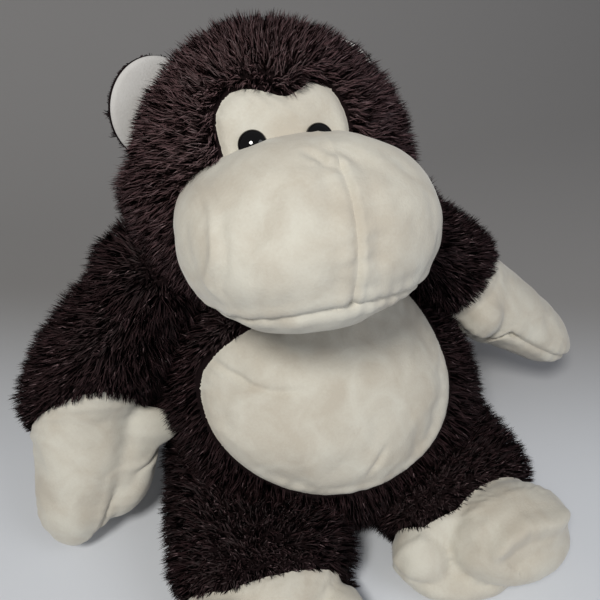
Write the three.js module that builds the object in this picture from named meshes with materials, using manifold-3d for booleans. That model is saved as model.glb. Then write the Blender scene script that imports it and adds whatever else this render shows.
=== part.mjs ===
import * as THREE from "three";
import { mergeVertices } from "three/addons/utils/BufferGeometryUtils.js";
import Module from "manifold-3d";

// A seated plush monkey, sewn from dark long-pile plush and cream short-pile cloth over a loose filling.
// Millimetres, +Z up, the seat on z = 0. The face looks along -Y and the animal's left side is +X.

const wasm = await Module();
wasm.setup();

// The animal's own right and left along X
const sides = { right: -1, left: 1 };

// Cloth and clearances
const plushThickness = 3;
const clothThickness = 2;
const seamGap = 0.3;
const cutReach = 400;

// Body: half widths of the dark cover at heights above the seat
const bodyHalfWidth = 87;
const bodyCrown = 164;
const bodySink = 7;
const bodyHeightShares = [0, 0.03, 0.12, 0.26, 0.44, 0.58, 0.71, 0.82, 0.91, 0.97, 1];
const bodyWidthShares = [0, 0.56, 0.83, 0.97, 1, 0.95, 0.83, 0.68, 0.5, 0.29, 0];
const bodyDepthShare = 0.82;
const bodySway = 29;
const bodySwayShares = [0.35, 0.5, 0.8, 0.98, 1, 0.92, 0.6, 0.3, 0.1, 0, 0];
const bodyLean = 20;
const bodyLeanShares = [0.75, 0.8, 0.95, 1, 0.85, 0.56, 0.34, 0.07, -0.07, -0.15, -0.15];

// Belly panel: an oval on the front of the body
const bellyHalfWidth = 70;
const bellyHalfHeight = 45;
const bellyHeight = 101;
const bellyShift = 8;
const bellyFrontEdge = 22;

// Head: a ball that turns in a cup at the top of the body, a little to the animal's right
const headRadius = 68;
const headHeight = 197;
const headSetback = 5;
const headShift = 3;
const headTurn = THREE.MathUtils.degToRad(-3.5);
const neckOpeningRadius = 36;

// Muzzle: a wide oval cushion on the front of the head
const muzzleHalfWidth = 60;
const muzzleHalfDepth = 53;
const muzzleHalfHeight = 41;
const muzzleForward = 65;
const muzzleRise = 5;
const muzzleFullness = 2.15;
const mouthDrop = 7.5;
const mouthEndDrop = 27;
const mouthSteps = 8;

// Face panel: two round brows joined over the eyes, turned a little further than the muzzle
const faceTurn = THREE.MathUtils.degToRad(-8);
const browRadius = 17.5;
const browOffset = 12;
const browRise = 41;
const faceBottom = 10;

// Safety eye: a dome on a shank that a washer locks behind the cloth
const eyeRadius = 6.25;
const eyeHeight = 4.5;
const eyeFlange = 0.8;
const eyeOffset = 14.2;
const eyeRise = 40.5;
const shankRadius = 2.1;
const shankLength = 12;
const washerRadius = 7;
const washerThickness = 1.6;

// Ear: a shallow cup of plush lined with cloth
const earRadius = 26.5;
const earCupDepth = 8;
const earSeat = 55;
const earSetback = 42;
const earLift = THREE.MathUtils.degToRad(28);
const earFlare = THREE.MathUtils.degToRad(22);
const earRimWidth = 3.5;
const earFloorShare = 0.85;

// Arm: one tapering form from the shoulder to the finger tips
const shoulderOffset = 70;
const shoulderHeight = 149;
const shoulderSetback = 2;
const shoulderBallRadius = 27.5;
const armholeRadius = 17;
const upperArmLength = 80;
const handLength = 87;
const armShares = [0, 0.25, 0.45, 0.6, 0.8, 1];
const armHalfWidth = 30;
const armHalfWidthShares = [0.74, 1, 1, 0.98, 0.9, 0.68];
const armHalfDepth = 28;
const armHalfDepthShares = [0.79, 1, 1, 0.9, 0.72, 0.5];
const armDomeLength = 24;
const rootDomeLength = 8;
const thumbLength = 23;
const thumbHalfWidth = 14;
const thumbHalfDepth = 12;
const thumbReach = 24;
const thumbCuffOffset = 20;
const flareClearance = 0.6;
const flareSteps = 3;

// How each arm lies, in degrees: the spread and forward swing of its two halves, the side that the thumb is
// on and the slant of the cuff
const armPoses = {
  right: { upperSpread: 36, upperForward: 2, handSpread: 14, handForward: 29, thumbTurn: 10, cuffTilt: 24 },
  left: { upperSpread: 46, upperForward: 6, handSpread: 54, handForward: 18, thumbTurn: 72, cuffTilt: -14 },
};

// Leg: one wide form from the hip to the foot, with two lobes on the foot
const hipOffset = 56;
const hipShift = 15;
const hipForward = 30;
const hipBallRadius = 40;
const hipHoleRadius = 17;
const legLength = 132;
const footLength = 40;
const legShares = [0, 0.3, 0.58, 0.8, 1];
const legHalfWidth = 45.5;
const legHalfWidthShares = [0.88, 0.94, 1, 0.98, 0.86];
const legHalfHeight = 27;
const legHalfHeightShares = [1, 1, 1, 0.9, 0.74];
const legHeight = 27.8;
const legDomeLength = 40;
const legRoomMargin = 2.2;
const footLobeHalfWidth = 41;
const footLobeHalfDepth = 31;
const footLobeHalfHeight = 28;
const footLobeBack = 26;
const footLobeOut = 15;
const toeRadius = 21.5;
const toeBack = 28;
const toeIn = 22;
const footSeamHeight = 22;
const soleFlat = 0.5;

// How far each leg is turned out and how far its hip lets it spread from there, in degrees
const legTurnsOut = { right: 6, left: -3 };
const legSpreadAngles = { least: -4, most: 18 };

// Facets round and along the outer and the hidden surfaces
const outerFacets = { sides: 20, rings: 11 };
const innerFacets = { sides: 10, rings: 6 };
const smallFacets = { sides: 12, rings: 7 };
const roomFacets = { sides: 24, rings: 11 };
const curveSegments = 12;
const eyeSteps = 4;

// Solids and booleans

function toSolid(geometry, place = new THREE.Matrix4()) {
  const bare = geometry.clone().applyMatrix4(place);
  bare.deleteAttribute("normal");
  bare.deleteAttribute("uv");
  const merged = mergeVertices(bare, seamGap / cutReach);
  const vertProperties = new Float32Array(merged.attributes.position.array);
  const triVerts = new Uint32Array(merged.index.array);
  const mesh = new wasm.Mesh({ numProp: 3, vertProperties, triVerts });
  mesh.merge();
  return new wasm.Manifold(mesh);
}

function toGeometry(solid) {
  const mesh = solid.getMesh();
  const geometry = new THREE.BufferGeometry();
  geometry.setAttribute("position", new THREE.BufferAttribute(mesh.vertProperties, mesh.numProp));
  geometry.setIndex(new THREE.BufferAttribute(mesh.triVerts, 1));
  const flat = geometry.toNonIndexed();
  flat.computeVertexNormals();
  return flat;
}

const joined = (...solids) => solids.reduce((sum, solid) => sum.add(solid));
const without = (solid, ...cutters) => cutters.reduce((rest, cutter) => rest.subtract(cutter), solid);

// A box that keeps or removes everything on one side of a plane
function halfSpace(point, direction, place) {
  const box = new THREE.BoxGeometry(cutReach, cutReach, cutReach);
  box.translate(0, 0, cutReach / 2);
  const turn = new THREE.Quaternion().setFromUnitVectors(new THREE.Vector3(0, 0, 1), direction);
  box.applyQuaternion(turn);
  box.translate(point.x, point.y, point.z);
  return toSolid(box, place);
}

function below(height) {
  return halfSpace(new THREE.Vector3(0, 0, height), new THREE.Vector3(0, 0, -1));
}

// An outline in the X and Z plane carried along Y, from the back face to the front face
function frontPrism(shape, back, front, place) {
  const prism = new THREE.ExtrudeGeometry(shape, { depth: back - front, bevelEnabled: false, curveSegments });
  prism.rotateX(Math.PI / 2);
  prism.translate(0, back, 0);
  return toSolid(prism, place);
}

// Stuffed forms

// The value of a table at a share of the way, in a straight line between its stations
function tableValue(shares, values, share) {
  const last = shares.length - 1;
  const next = Math.min(Math.max(shares.findIndex((s) => s >= share), 1), last);
  const from = shares[next - 1];
  const part = THREE.MathUtils.clamp((share - from) / (shares[next] - from), 0, 1);
  return THREE.MathUtils.lerp(values[next - 1], values[next], part);
}

// A ball, an egg or a cushion: a sphere drawn out to three half sizes and filled out towards its corners
function ballForm(center, halfSizes, facets, { fullness = 2, place } = {}) {
  const geometry = new THREE.SphereGeometry(1, facets.sides, facets.rings);
  geometry.rotateX(Math.PI / 2);
  const position = geometry.attributes.position;
  const point = new THREE.Vector3();
  for (let i = 0; i < position.count; i += 1) {
    point.fromBufferAttribute(position, i);
    const sum = Math.abs(point.x) ** fullness + Math.abs(point.y) ** fullness + Math.abs(point.z) ** fullness;
    point.multiplyScalar(1 / sum ** (1 / fullness)).multiply(halfSizes).add(center);
    position.setXYZ(i, point.x, point.y, point.z);
  }
  return toSolid(geometry, place);
}

function roundBall(center, radius, facets) {
  return ballForm(center, new THREE.Vector3(radius, radius, radius), facets);
}

// The room in which a faceted ball turns with the seam's gap all round. About an upright axis the rings stay
// level, so only the facets round them count.
function turningRoom(center, radius, isUpright) {
  const { sides: around, rings } = roomFacets;
  const flats = Math.cos(Math.PI / around) * (isUpright ? 1 : Math.cos(Math.PI / (2 * rings)));
  return roundBall(center, (radius + seamGap) / flats, roomFacets);
}

// A limb: ellipses square to a curved spine, with a dome at each end
function limbForm({ spine, shares, halfWidths, halfDepths, across, domes, inset, facets }) {
  const length = spine.getLength();
  const start = inset / length;
  const points = [];
  const ringStarts = [];
  for (let ring = 0; ring <= facets.rings; ring += 1) {
    const eased = (1 - Math.cos((Math.PI * ring) / facets.rings)) / 2;
    const share = THREE.MathUtils.lerp(start, 1 - start, eased);
    const center = spine.getPointAt(share);
    ringStarts.push(points.length);
    if (ring === 0 || ring === facets.rings) {
      points.push(center);
      continue;
    }
    const tangent = spine.getTangentAt(share);
    const wide = across.clone().addScaledVector(tangent, -across.dot(tangent)).normalize();
    const deep = tangent.clone().cross(wide);
    const close = dome((share - start) * length, domes[0]) * dome((1 - start - share) * length, domes[1]);
    const halfWidth = (tableValue(shares, halfWidths, share) - inset) * close;
    const halfDepth = (tableValue(shares, halfDepths, share) - inset) * close;
    for (let side = 0; side < facets.sides; side += 1) {
      const angle = (2 * Math.PI * side) / facets.sides;
      const point = center.clone().addScaledVector(wide, halfWidth * Math.cos(angle));
      points.push(point.addScaledVector(deep, halfDepth * Math.sin(angle)));
    }
  }
  return toSolid(skinRings(points, ringStarts, facets.sides));
}

function dome(distance, domeLength) {
  const part = Math.min(distance / domeLength, 1);
  return Math.sqrt(1 - (1 - part) ** 2);
}

// Triangles between neighbouring rings, fans where a ring is a single point
function skinRings(points, ringStarts, sides) {
  const triangles = [];
  for (let ring = 1; ring < ringStarts.length; ring += 1) {
    const low = ringStarts[ring - 1];
    const high = ringStarts[ring];
    for (let side = 0; side < sides; side += 1) {
      const next = (side + 1) % sides;
      const corners = [low + (ring > 1 ? side : 0), low + (ring > 1 ? next : 0)];
      const isLast = ring === ringStarts.length - 1;
      const tops = [high + (isLast ? 0 : side), high + (isLast ? 0 : next)];
      if (ring > 1) triangles.push(corners[0], corners[1], tops[1]);
      if (!isLast) triangles.push(corners[0], tops[1], tops[0]);
    }
  }
  const geometry = new THREE.BufferGeometry().setFromPoints(points);
  geometry.setIndex(triangles);
  return geometry;
}

// Body

// The radius and height of each ring of the body, from the seat to the crown
function bodyProfile(inset, rings) {
  const height = bodyCrown + bodySink - 2 * inset;
  const stations = bodyHeightShares.map((share, i) => {
    const radius = Math.max(bodyWidthShares[i] * bodyHalfWidth - inset, 0);
    return new THREE.Vector2(radius, inset - bodySink + share * height);
  });
  const outline = new THREE.SplineCurve(stations).getPoints(rings);
  outline.forEach((point) => point.setX(Math.max(point.x, 0)));
  outline[0].setX(0);
  outline[outline.length - 1].setX(0);
  return outline;
}

function bodyShare(height, inset) {
  return (height + bodySink - inset) / (bodyCrown + bodySink - 2 * inset);
}

function bodyForm(inset, facets) {
  const geometry = new THREE.LatheGeometry(bodyProfile(inset, facets.rings), facets.sides);
  geometry.rotateX(Math.PI / 2);
  const position = geometry.attributes.position;
  for (let i = 0; i < position.count; i += 1) {
    const share = bodyShare(position.getZ(i), inset);
    const sway = tableValue(bodyHeightShares, bodySwayShares, share) * bodySway;
    position.setX(i, position.getX(i) + tableValue(bodyHeightShares, bodyLeanShares, share) * bodyLean);
    position.setY(i, position.getY(i) * bodyDepthShare - sway);
  }
  return without(toSolid(geometry), below(inset));
}

// How far the body reaches to one side of the middle at a height
function bodySideAt(side, height) {
  const outline = bodyProfile(0, outerFacets.rings);
  const halfWidth = tableValue(outline.map((ring) => ring.y), outline.map((ring) => ring.x), height);
  return halfWidth + side * tableValue(bodyHeightShares, bodyLeanShares, bodyShare(height, 0)) * bodyLean;
}

function bellyOutline(margin) {
  const shape = new THREE.Shape();
  const halfWidth = bellyHalfWidth - margin;
  shape.absellipse(bellyShift, bellyHeight, halfWidth, bellyHalfHeight - margin, 0, 2 * Math.PI, false, 0);
  return frontPrism(shape, -bellyFrontEdge, -cutReach);
}

// Head

const headCenter = new THREE.Vector3(-headShift, headSetback, headHeight);

// A turn about the upright line through the middle of the head
function headPlace(turn) {
  const place = new THREE.Matrix4().makeTranslation(headCenter.x, headCenter.y, headCenter.z);
  place.multiply(new THREE.Matrix4().makeRotationZ(turn));
  return place.multiply(new THREE.Matrix4().makeTranslation(-headCenter.x, -headCenter.y, -headCenter.z));
}

// A point given from the centre of the head, to the left, forward and up, on the turned head
function onHead(left, forward, up, turn) {
  return new THREE.Vector3(left, -forward, up).add(headCenter).applyMatrix4(headPlace(turn));
}

function headForm(inset, facets) {
  return roundBall(headCenter, headRadius - inset, facets);
}

function neckOpening(margin) {
  const opening = new THREE.CylinderGeometry(
    neckOpeningRadius - margin, neckOpeningRadius - margin, headRadius, outerFacets.sides);
  opening.rotateX(Math.PI / 2);
  opening.translate(headCenter.x, headCenter.y, headCenter.z - headRadius);
  return toSolid(opening);
}

function muzzleForm(inset, facets) {
  const center = headCenter.clone().add(new THREE.Vector3(0, -muzzleForward, muzzleRise));
  const halfSizes = new THREE.Vector3(
    muzzleHalfWidth - inset, muzzleHalfDepth - inset, muzzleHalfHeight - inset);
  return ballForm(center, halfSizes, facets, { fullness: muzzleFullness, place: headPlace(headTurn) });
}

// Everything under the mouth seam, which drops in a curve towards its ends
function underMouth(margin) {
  const shape = new THREE.Shape();
  const seat = headCenter.z + muzzleRise;
  const low = seat - muzzleHalfHeight - plushThickness;
  shape.moveTo(headCenter.x - muzzleHalfWidth, low);
  for (let step = 0; step <= mouthSteps; step += 1) {
    const across = (2 * step) / mouthSteps - 1;
    const drop = THREE.MathUtils.lerp(mouthDrop, mouthEndDrop, across * across) + margin;
    shape.lineTo(headCenter.x + across * muzzleHalfWidth, seat - drop);
  }
  shape.lineTo(headCenter.x + muzzleHalfWidth, low);
  shape.closePath();
  return frontPrism(shape, headCenter.y, -cutReach, headPlace(headTurn));
}

function sideOfHead(side, margin) {
  const seam = new THREE.Vector3(headCenter.x + side * margin, headCenter.y, headCenter.z);
  return halfSpace(seam, new THREE.Vector3(side, 0, 0), headPlace(headTurn));
}

// The brows are two circles; the panel runs down behind the muzzle
function faceOutline(margin) {
  const radius = browRadius + margin;
  const height = headCenter.z + browRise;
  const place = headPlace(faceTurn);
  const brows = [-1, 1].map((side) => {
    const shape = new THREE.Shape();
    shape.absarc(headCenter.x + side * browOffset, height, radius, 0, 2 * Math.PI, false);
    return frontPrism(shape, headCenter.y, -cutReach, place);
  });
  const cheeks = new THREE.Shape();
  const [right, left] = [-1, 1].map((side) => headCenter.x + side * (browOffset + radius));
  cheeks.moveTo(right, headCenter.z + faceBottom);
  cheeks.lineTo(left, headCenter.z + faceBottom);
  cheeks.lineTo(left, height);
  cheeks.lineTo(right, height);
  cheeks.closePath();
  return joined(...brows, frontPrism(cheeks, headCenter.y, -cutReach, place));
}

// A turned piece whose axis looks out of the head at an eye
function eyePiece(side, profile) {
  const forward = Math.sqrt(headRadius ** 2 - eyeOffset ** 2 - eyeRise ** 2);
  const seat = onHead(side * eyeOffset, forward, eyeRise, faceTurn);
  const out = seat.clone().sub(headCenter).normalize();
  const points = profile.map(([radius, along]) => new THREE.Vector2(radius, along));
  const geometry = new THREE.LatheGeometry(points, smallFacets.sides);
  const turn = new THREE.Quaternion().setFromUnitVectors(new THREE.Vector3(0, 1, 0), out);
  geometry.applyQuaternion(turn);
  geometry.translate(seat.x, seat.y, seat.z);
  return toSolid(geometry);
}

function eyeProfile(margin) {
  const rim = eyeRadius + margin;
  const base = seamGap - margin;
  const profile = [[0, -shankLength - margin], [shankRadius + margin, -shankLength - margin]];
  profile.push([shankRadius + margin, base], [rim, base]);
  for (let step = 0; step < eyeSteps; step += 1) {
    const angle = (Math.PI * step) / (2 * eyeSteps);
    const along = seamGap + eyeFlange + (eyeHeight - eyeFlange + margin) * Math.sin(angle);
    profile.push([rim * Math.cos(angle), along]);
  }
  profile.push([0, seamGap + eyeHeight + margin]);
  return profile;
}

function washerProfile(margin) {
  const top = margin - plushThickness - seamGap;
  const bottom = top - washerThickness - 2 * margin;
  const bore = shankRadius + seamGap;
  const rim = washerRadius + margin;
  if (margin > 0) return [[0, bottom], [rim, bottom], [rim, top], [0, top]];
  return [[bore, bottom], [rim, bottom], [rim, top], [bore, top], [bore, bottom]];
}

// Ears

// A cup or its lining, turned about the ear's own axis and seated on the side of the head
function earPiece(side, profile) {
  const points = profile.map(([radius, along]) => new THREE.Vector2(radius, along));
  const geometry = new THREE.LatheGeometry(points, smallFacets.sides + smallFacets.rings);
  geometry.rotateX(Math.PI);
  const seat = onHead(side * earSeat * Math.cos(earLift), -earSetback, earSeat * Math.sin(earLift), headTurn);
  geometry.rotateZ(-side * earFlare);
  geometry.rotateX(-earFlare / 2);
  geometry.translate(seat.x, seat.y, seat.z);
  return without(toSolid(geometry), headForm(-seamGap, outerFacets));
}

function earCup() {
  const inner = earRadius - earRimWidth;
  const floor = earCupDepth - plushThickness;
  return [
    [0, -earCupDepth], [inner, -earCupDepth + earRimWidth], [earRadius, 0],
    [earRadius - earRimWidth / 2, earRimWidth / 2], [inner - seamGap, 0],
    [inner * earFloorShare - plushThickness, -floor + earRimWidth / 2], [0, -floor],
  ];
}

function earLining() {
  const inner = earRadius - earRimWidth - 2 * seamGap;
  const floor = earCupDepth - plushThickness - seamGap;
  const curl = earRimWidth / 2;
  return [
    [0, -floor], [(inner - seamGap) * earFloorShare - plushThickness, -floor + curl],
    [inner - seamGap, seamGap], [inner - clothThickness, clothThickness / 2],
    [(inner - seamGap) * earFloorShare - plushThickness, -floor + curl + clothThickness],
    [0, -floor + clothThickness],
  ];
}

// Arms

// A direction that hangs down, spread to the side and swung forward
function hangingLine(side, spreadDegrees, forwardDegrees) {
  const [spread, forward] = [spreadDegrees, forwardDegrees].map(THREE.MathUtils.degToRad);
  return new THREE.Vector3(
    side * Math.sin(spread) * Math.cos(forward), -Math.sin(forward), -Math.cos(spread) * Math.cos(forward));
}

// The line of an arm from the shoulder through the wrist to the finger tips
function armLine(name) {
  const side = sides[name];
  const pose = armPoses[name];
  const shoulder = new THREE.Vector3(side * shoulderOffset, shoulderSetback, shoulderHeight);
  const upper = hangingLine(side, pose.upperSpread, pose.upperForward);
  const hand = hangingLine(side, pose.handSpread, pose.handForward);
  const wrist = shoulder.clone().addScaledVector(upper, upperArmLength);
  const tip = wrist.clone().addScaledVector(hand, handLength);
  const elbow = shoulder.clone().lerp(wrist, 0.5);
  const knuckles = wrist.clone().lerp(tip, 0.5);
  const spine = new THREE.CatmullRomCurve3([shoulder, elbow, wrist, knuckles, tip], false, "centripetal");
  const thumbTurn = THREE.MathUtils.degToRad(pose.thumbTurn);
  const across = new THREE.Vector3(-side * Math.cos(thumbTurn), -Math.sin(thumbTurn), 0);
  const handLine = tip.clone().sub(wrist).normalize();
  const backLine = across.clone().cross(handLine).normalize();
  if (backLine.z < 0) backLine.negate();
  const cuffTilt = THREE.MathUtils.degToRad(pose.cuffTilt);
  const cuffLine = handLine.clone().addScaledVector(backLine, Math.tan(cuffTilt)).normalize();
  const cuffShare = upperArmLength / (upperArmLength + handLength);
  return { name, side, shoulder, spine, across, wrist, backLine, cuffLine, cuffShare };
}

function armForm(arm, inset, facets) {
  const form = limbForm({
    spine: arm.spine,
    shares: armShares,
    halfWidths: armHalfWidthShares.map((share) => share * armHalfWidth),
    halfDepths: armHalfDepthShares.map((share) => share * armHalfDepth),
    across: arm.across,
    domes: [rootDomeLength, armDomeLength],
    inset,
    facets,
  });
  return joined(form, roundBall(arm.shoulder, shoulderBallRadius - inset, facets));
}

function thumbForm(arm, inset, facets) {
  const share = arm.cuffShare + thumbCuffOffset / (upperArmLength + handLength);
  const tangent = arm.spine.getTangentAt(share);
  const wide = arm.across.clone().addScaledVector(tangent, -arm.across.dot(tangent)).normalize();
  const deep = tangent.clone().cross(wide);
  const halfSizes = new THREE.Vector3(thumbLength - inset, thumbHalfDepth - inset, thumbHalfWidth - inset);
  const place = new THREE.Matrix4().makeBasis(wide, deep, tangent.clone());
  place.setPosition(arm.spine.getPointAt(share).addScaledVector(wide, thumbReach));
  return ballForm(new THREE.Vector3(), halfSizes, facets, { place });
}

// The room that the body and the head take from an arm in every position of the shoulder joint: a flare about
// the joint's axis, as wide at each distance from the axis as the body or the head is there
function besideArm(arm, margin) {
  const headReach = (distance) => {
    const toHead = headCenter.z - shoulderHeight - distance;
    const halfWidth = Math.sqrt(Math.max(headRadius ** 2 - toHead ** 2, 0));
    return halfWidth - arm.side * headShift;
  };
  const ballEdge = shoulderBallRadius - plushThickness / 2 - margin;
  const inBall = [];
  const belowBall = [];
  let bodyReach = 0;
  for (let step = 0; step <= flareSteps; step += 1) {
    const inside = (step * ballEdge) / flareSteps;
    const outside = THREE.MathUtils.lerp(ballEdge, shoulderHeight / 2, step / flareSteps);
    bodyReach = Math.max(bodyReach, bodySideAt(arm.side, shoulderHeight - outside), headReach(outside));
    inBall.push(new THREE.Vector2(inside, headReach(inside) + flareClearance + margin));
    belowBall.push(new THREE.Vector2(outside, bodyReach + flareClearance + margin));
  }
  const far = [new THREE.Vector2(cutReach, bodyReach + margin), new THREE.Vector2(cutReach, -cutReach)];
  const outline = [...inBall, ...belowBall, ...far, new THREE.Vector2(0, -cutReach)];
  const flare = new THREE.LatheGeometry(outline.reverse(), outerFacets.sides);
  flare.rotateZ(-arm.side * Math.PI / 2);
  flare.translate(0, shoulderSetback, shoulderHeight);
  return toSolid(flare);
}

// Legs

function legLine(name, spread = 0) {
  const side = sides[name];
  const hip = new THREE.Vector3(side * hipOffset + hipShift, -hipForward, legHeight);
  const turnOut = THREE.MathUtils.degToRad(legTurnsOut[name] + spread);
  const along = new THREE.Vector3(side * Math.sin(turnOut), -Math.cos(turnOut), 0);
  const out = new THREE.Vector3(side * Math.cos(turnOut), Math.sin(turnOut), 0);
  const spine = new THREE.LineCurve3(hip, hip.clone().addScaledVector(along, legLength));
  const ankle = hip.clone().addScaledVector(along, legLength - footLength);
  return { name, side, hip, along, out, spine, ankle };
}

function legForm(leg, inset, facets) {
  const form = limbForm({
    spine: leg.spine,
    shares: legShares,
    halfWidths: legHalfWidthShares.map((share) => share * legHalfWidth),
    halfDepths: legHalfHeightShares.map((share) => share * legHalfHeight),
    across: leg.out,
    domes: [rootDomeLength, legDomeLength],
    inset,
    facets,
  });
  const radius = hipBallRadius - inset;
  const ball = ballForm(leg.hip, new THREE.Vector3(radius, radius, legHalfHeight - inset), facets);
  return joined(form, ball);
}

function footLobes(leg, inset, facets) {
  const lobe = leg.hip.clone().addScaledVector(leg.along, legLength - footLobeBack);
  lobe.addScaledVector(leg.out, footLobeOut).setZ(footLobeHalfHeight);
  const lobeSizes = new THREE.Vector3(
    footLobeHalfWidth - inset, footLobeHalfDepth - inset, footLobeHalfHeight - inset);
  const toe = leg.hip.clone().addScaledVector(leg.along, legLength - toeBack);
  toe.addScaledVector(leg.out, -toeIn).setZ(toeRadius);
  return joined(ballForm(lobe, lobeSizes, facets), roundBall(toe, toeRadius - inset, facets));
}

// The room that a leg sweeps under the belly as it spreads about the upright line through its hip
function legRoom(leg) {
  const turned = Object.values(legSpreadAngles).map((spread) => legLine(leg.name, spread));
  return joined(...turned.map((line) => legForm(line, -seamGap - legRoomMargin, smallFacets)));
}

// The assembly

const monkey = new THREE.Group();

const plush = { color: 0x2a1d1e, roughness: 0.95 };
const cream = { color: 0xdcd7ca, roughness: 0.9 };
const lining = { color: 0xd0cfcb, roughness: 0.9 };
const fibre = { color: 0xf2f0ea, roughness: 1 };
const blackPlastic = { color: 0x0b0a0a, roughness: 0.08 };
const whitePlastic = { color: 0xe6e6e2, roughness: 0.4 };

function addPiece(name, solid, finish) {
  const material = new THREE.MeshStandardMaterial({ ...finish, metalness: 0 });
  const mesh = new THREE.Mesh(toGeometry(solid), material);
  mesh.name = name;
  monkey.add(mesh);
}

const arms = Object.keys(sides).map((name) => armLine(name));
const legs = Object.keys(sides).map((name) => legLine(name));

// The body gives way to the head, the shoulder balls and the legs
const neckCup = turningRoom(headCenter, headRadius, true);
const shoulderCups = arms.map((arm) => turningRoom(arm.shoulder, shoulderBallRadius, false));
const bodyNeighbours = [neckCup, ...shoulderCups, ...legs.map(legRoom)];
const bodyShell = without(bodyForm(0, outerFacets), bodyForm(plushThickness, innerFacets), ...bodyNeighbours);
const bodyFilling = without(bodyForm(plushThickness + seamGap, innerFacets), ...bodyNeighbours);
addPiece("body_cover", without(bodyShell, bellyOutline(0)), plush);
addPiece("belly_panel", bodyShell.intersect(bellyOutline(seamGap)), cream);
addPiece("body_filling", bodyFilling, fibre);

// The head is one shell with the neck, the face panel and the muzzle let into it
const eyeRooms = [-1, 1].map((side) => eyePiece(side, eyeProfile(seamGap)));
const washerRooms = [-1, 1].map((side) => eyePiece(side, washerProfile(seamGap)));
const muzzleRoom = muzzleForm(clothThickness, innerFacets);
const headShell = without(headForm(0, outerFacets), headForm(plushThickness, innerFacets), muzzleRoom);
const face = headShell.intersect(faceOutline(-seamGap));
addPiece("head_cover", without(headShell, neckOpening(0), faceOutline(0)), plush);
addPiece("face_panel", without(face, ...eyeRooms, ...washerRooms), cream);
const neckPlug = headForm(0, outerFacets).intersect(neckOpening(seamGap));
const headFilling = joined(headForm(plushThickness + seamGap, innerFacets), neckPlug);
addPiece("head_filling", without(headFilling, ...eyeRooms, ...washerRooms), fibre);

const headRoom = headForm(-seamGap, outerFacets);
const muzzleShell = without(muzzleForm(0, outerFacets), muzzleRoom, headRoom, ...eyeRooms);
const upperMuzzle = without(muzzleShell, underMouth(0));
addPiece("muzzle_upper_right", upperMuzzle.intersect(sideOfHead(-1, seamGap / 2)), cream);
addPiece("muzzle_upper_left", upperMuzzle.intersect(sideOfHead(1, seamGap / 2)), cream);
addPiece("muzzle_chin", muzzleShell.intersect(underMouth(seamGap)), cream);
const inMuzzle = muzzleForm(clothThickness + seamGap, innerFacets);
const muzzleFilling = without(inMuzzle, headForm(plushThickness, innerFacets), ...eyeRooms, ...washerRooms);
addPiece("muzzle_filling", muzzleFilling, fibre);

for (const [name, side] of Object.entries(sides)) {
  addPiece(`eye_${name}`, eyePiece(side, eyeProfile(0)), blackPlastic);
  addPiece(`eye_washer_${name}`, eyePiece(side, washerProfile(0)), whitePlastic);
  addPiece(`ear_back_${name}`, earPiece(side, earCup()), plush);
  addPiece(`ear_lining_${name}`, earPiece(side, earLining()), lining);
}

// Each arm is a plush sleeve, two cloth panels that make the hand, and one filling
for (const arm of arms) {
  const handSide = halfSpace(arm.wrist, arm.cuffLine);
  const handStart = halfSpace(arm.wrist.clone().addScaledVector(arm.cuffLine, seamGap), arm.cuffLine);
  const armhole = new THREE.CylinderGeometry(armholeRadius, armholeRadius, shoulderOffset, outerFacets.sides);
  armhole.rotateZ(Math.PI / 2);
  armhole.translate(arm.side * shoulderOffset / 2, shoulderSetback, shoulderHeight);
  const inSleeve = without(armForm(arm, plushThickness, innerFacets), besideArm(arm, plushThickness));
  const sleeve = without(armForm(arm, 0, outerFacets), besideArm(arm, 0), inSleeve, handSide);
  addPiece(`sleeve_${arm.name}`, without(sleeve, toSolid(armhole)), plush);

  const skin = joined(armForm(arm, 0, outerFacets), thumbForm(arm, 0, smallFacets));
  const space = joined(
    armForm(arm, clothThickness, innerFacets), thumbForm(arm, clothThickness, smallFacets));
  const hand = without(skin, space).intersect(handStart);
  const backSide = halfSpace(arm.wrist.clone().addScaledVector(arm.backLine, seamGap / 2), arm.backLine);
  const palmLine = arm.backLine.clone().negate();
  const palmSide = halfSpace(arm.wrist.clone().addScaledVector(palmLine, seamGap / 2), palmLine);
  addPiece(`hand_back_${arm.name}`, hand.intersect(backSide), cream);
  addPiece(`hand_palm_${arm.name}`, hand.intersect(palmSide), cream);

  const inThumb = thumbForm(arm, clothThickness + seamGap, smallFacets).intersect(handStart);
  const filling = joined(armForm(arm, plushThickness + seamGap, innerFacets), inThumb);
  addPiece(`arm_filling_${arm.name}`, without(filling, besideArm(arm, plushThickness + seamGap)), fibre);
}

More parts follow.
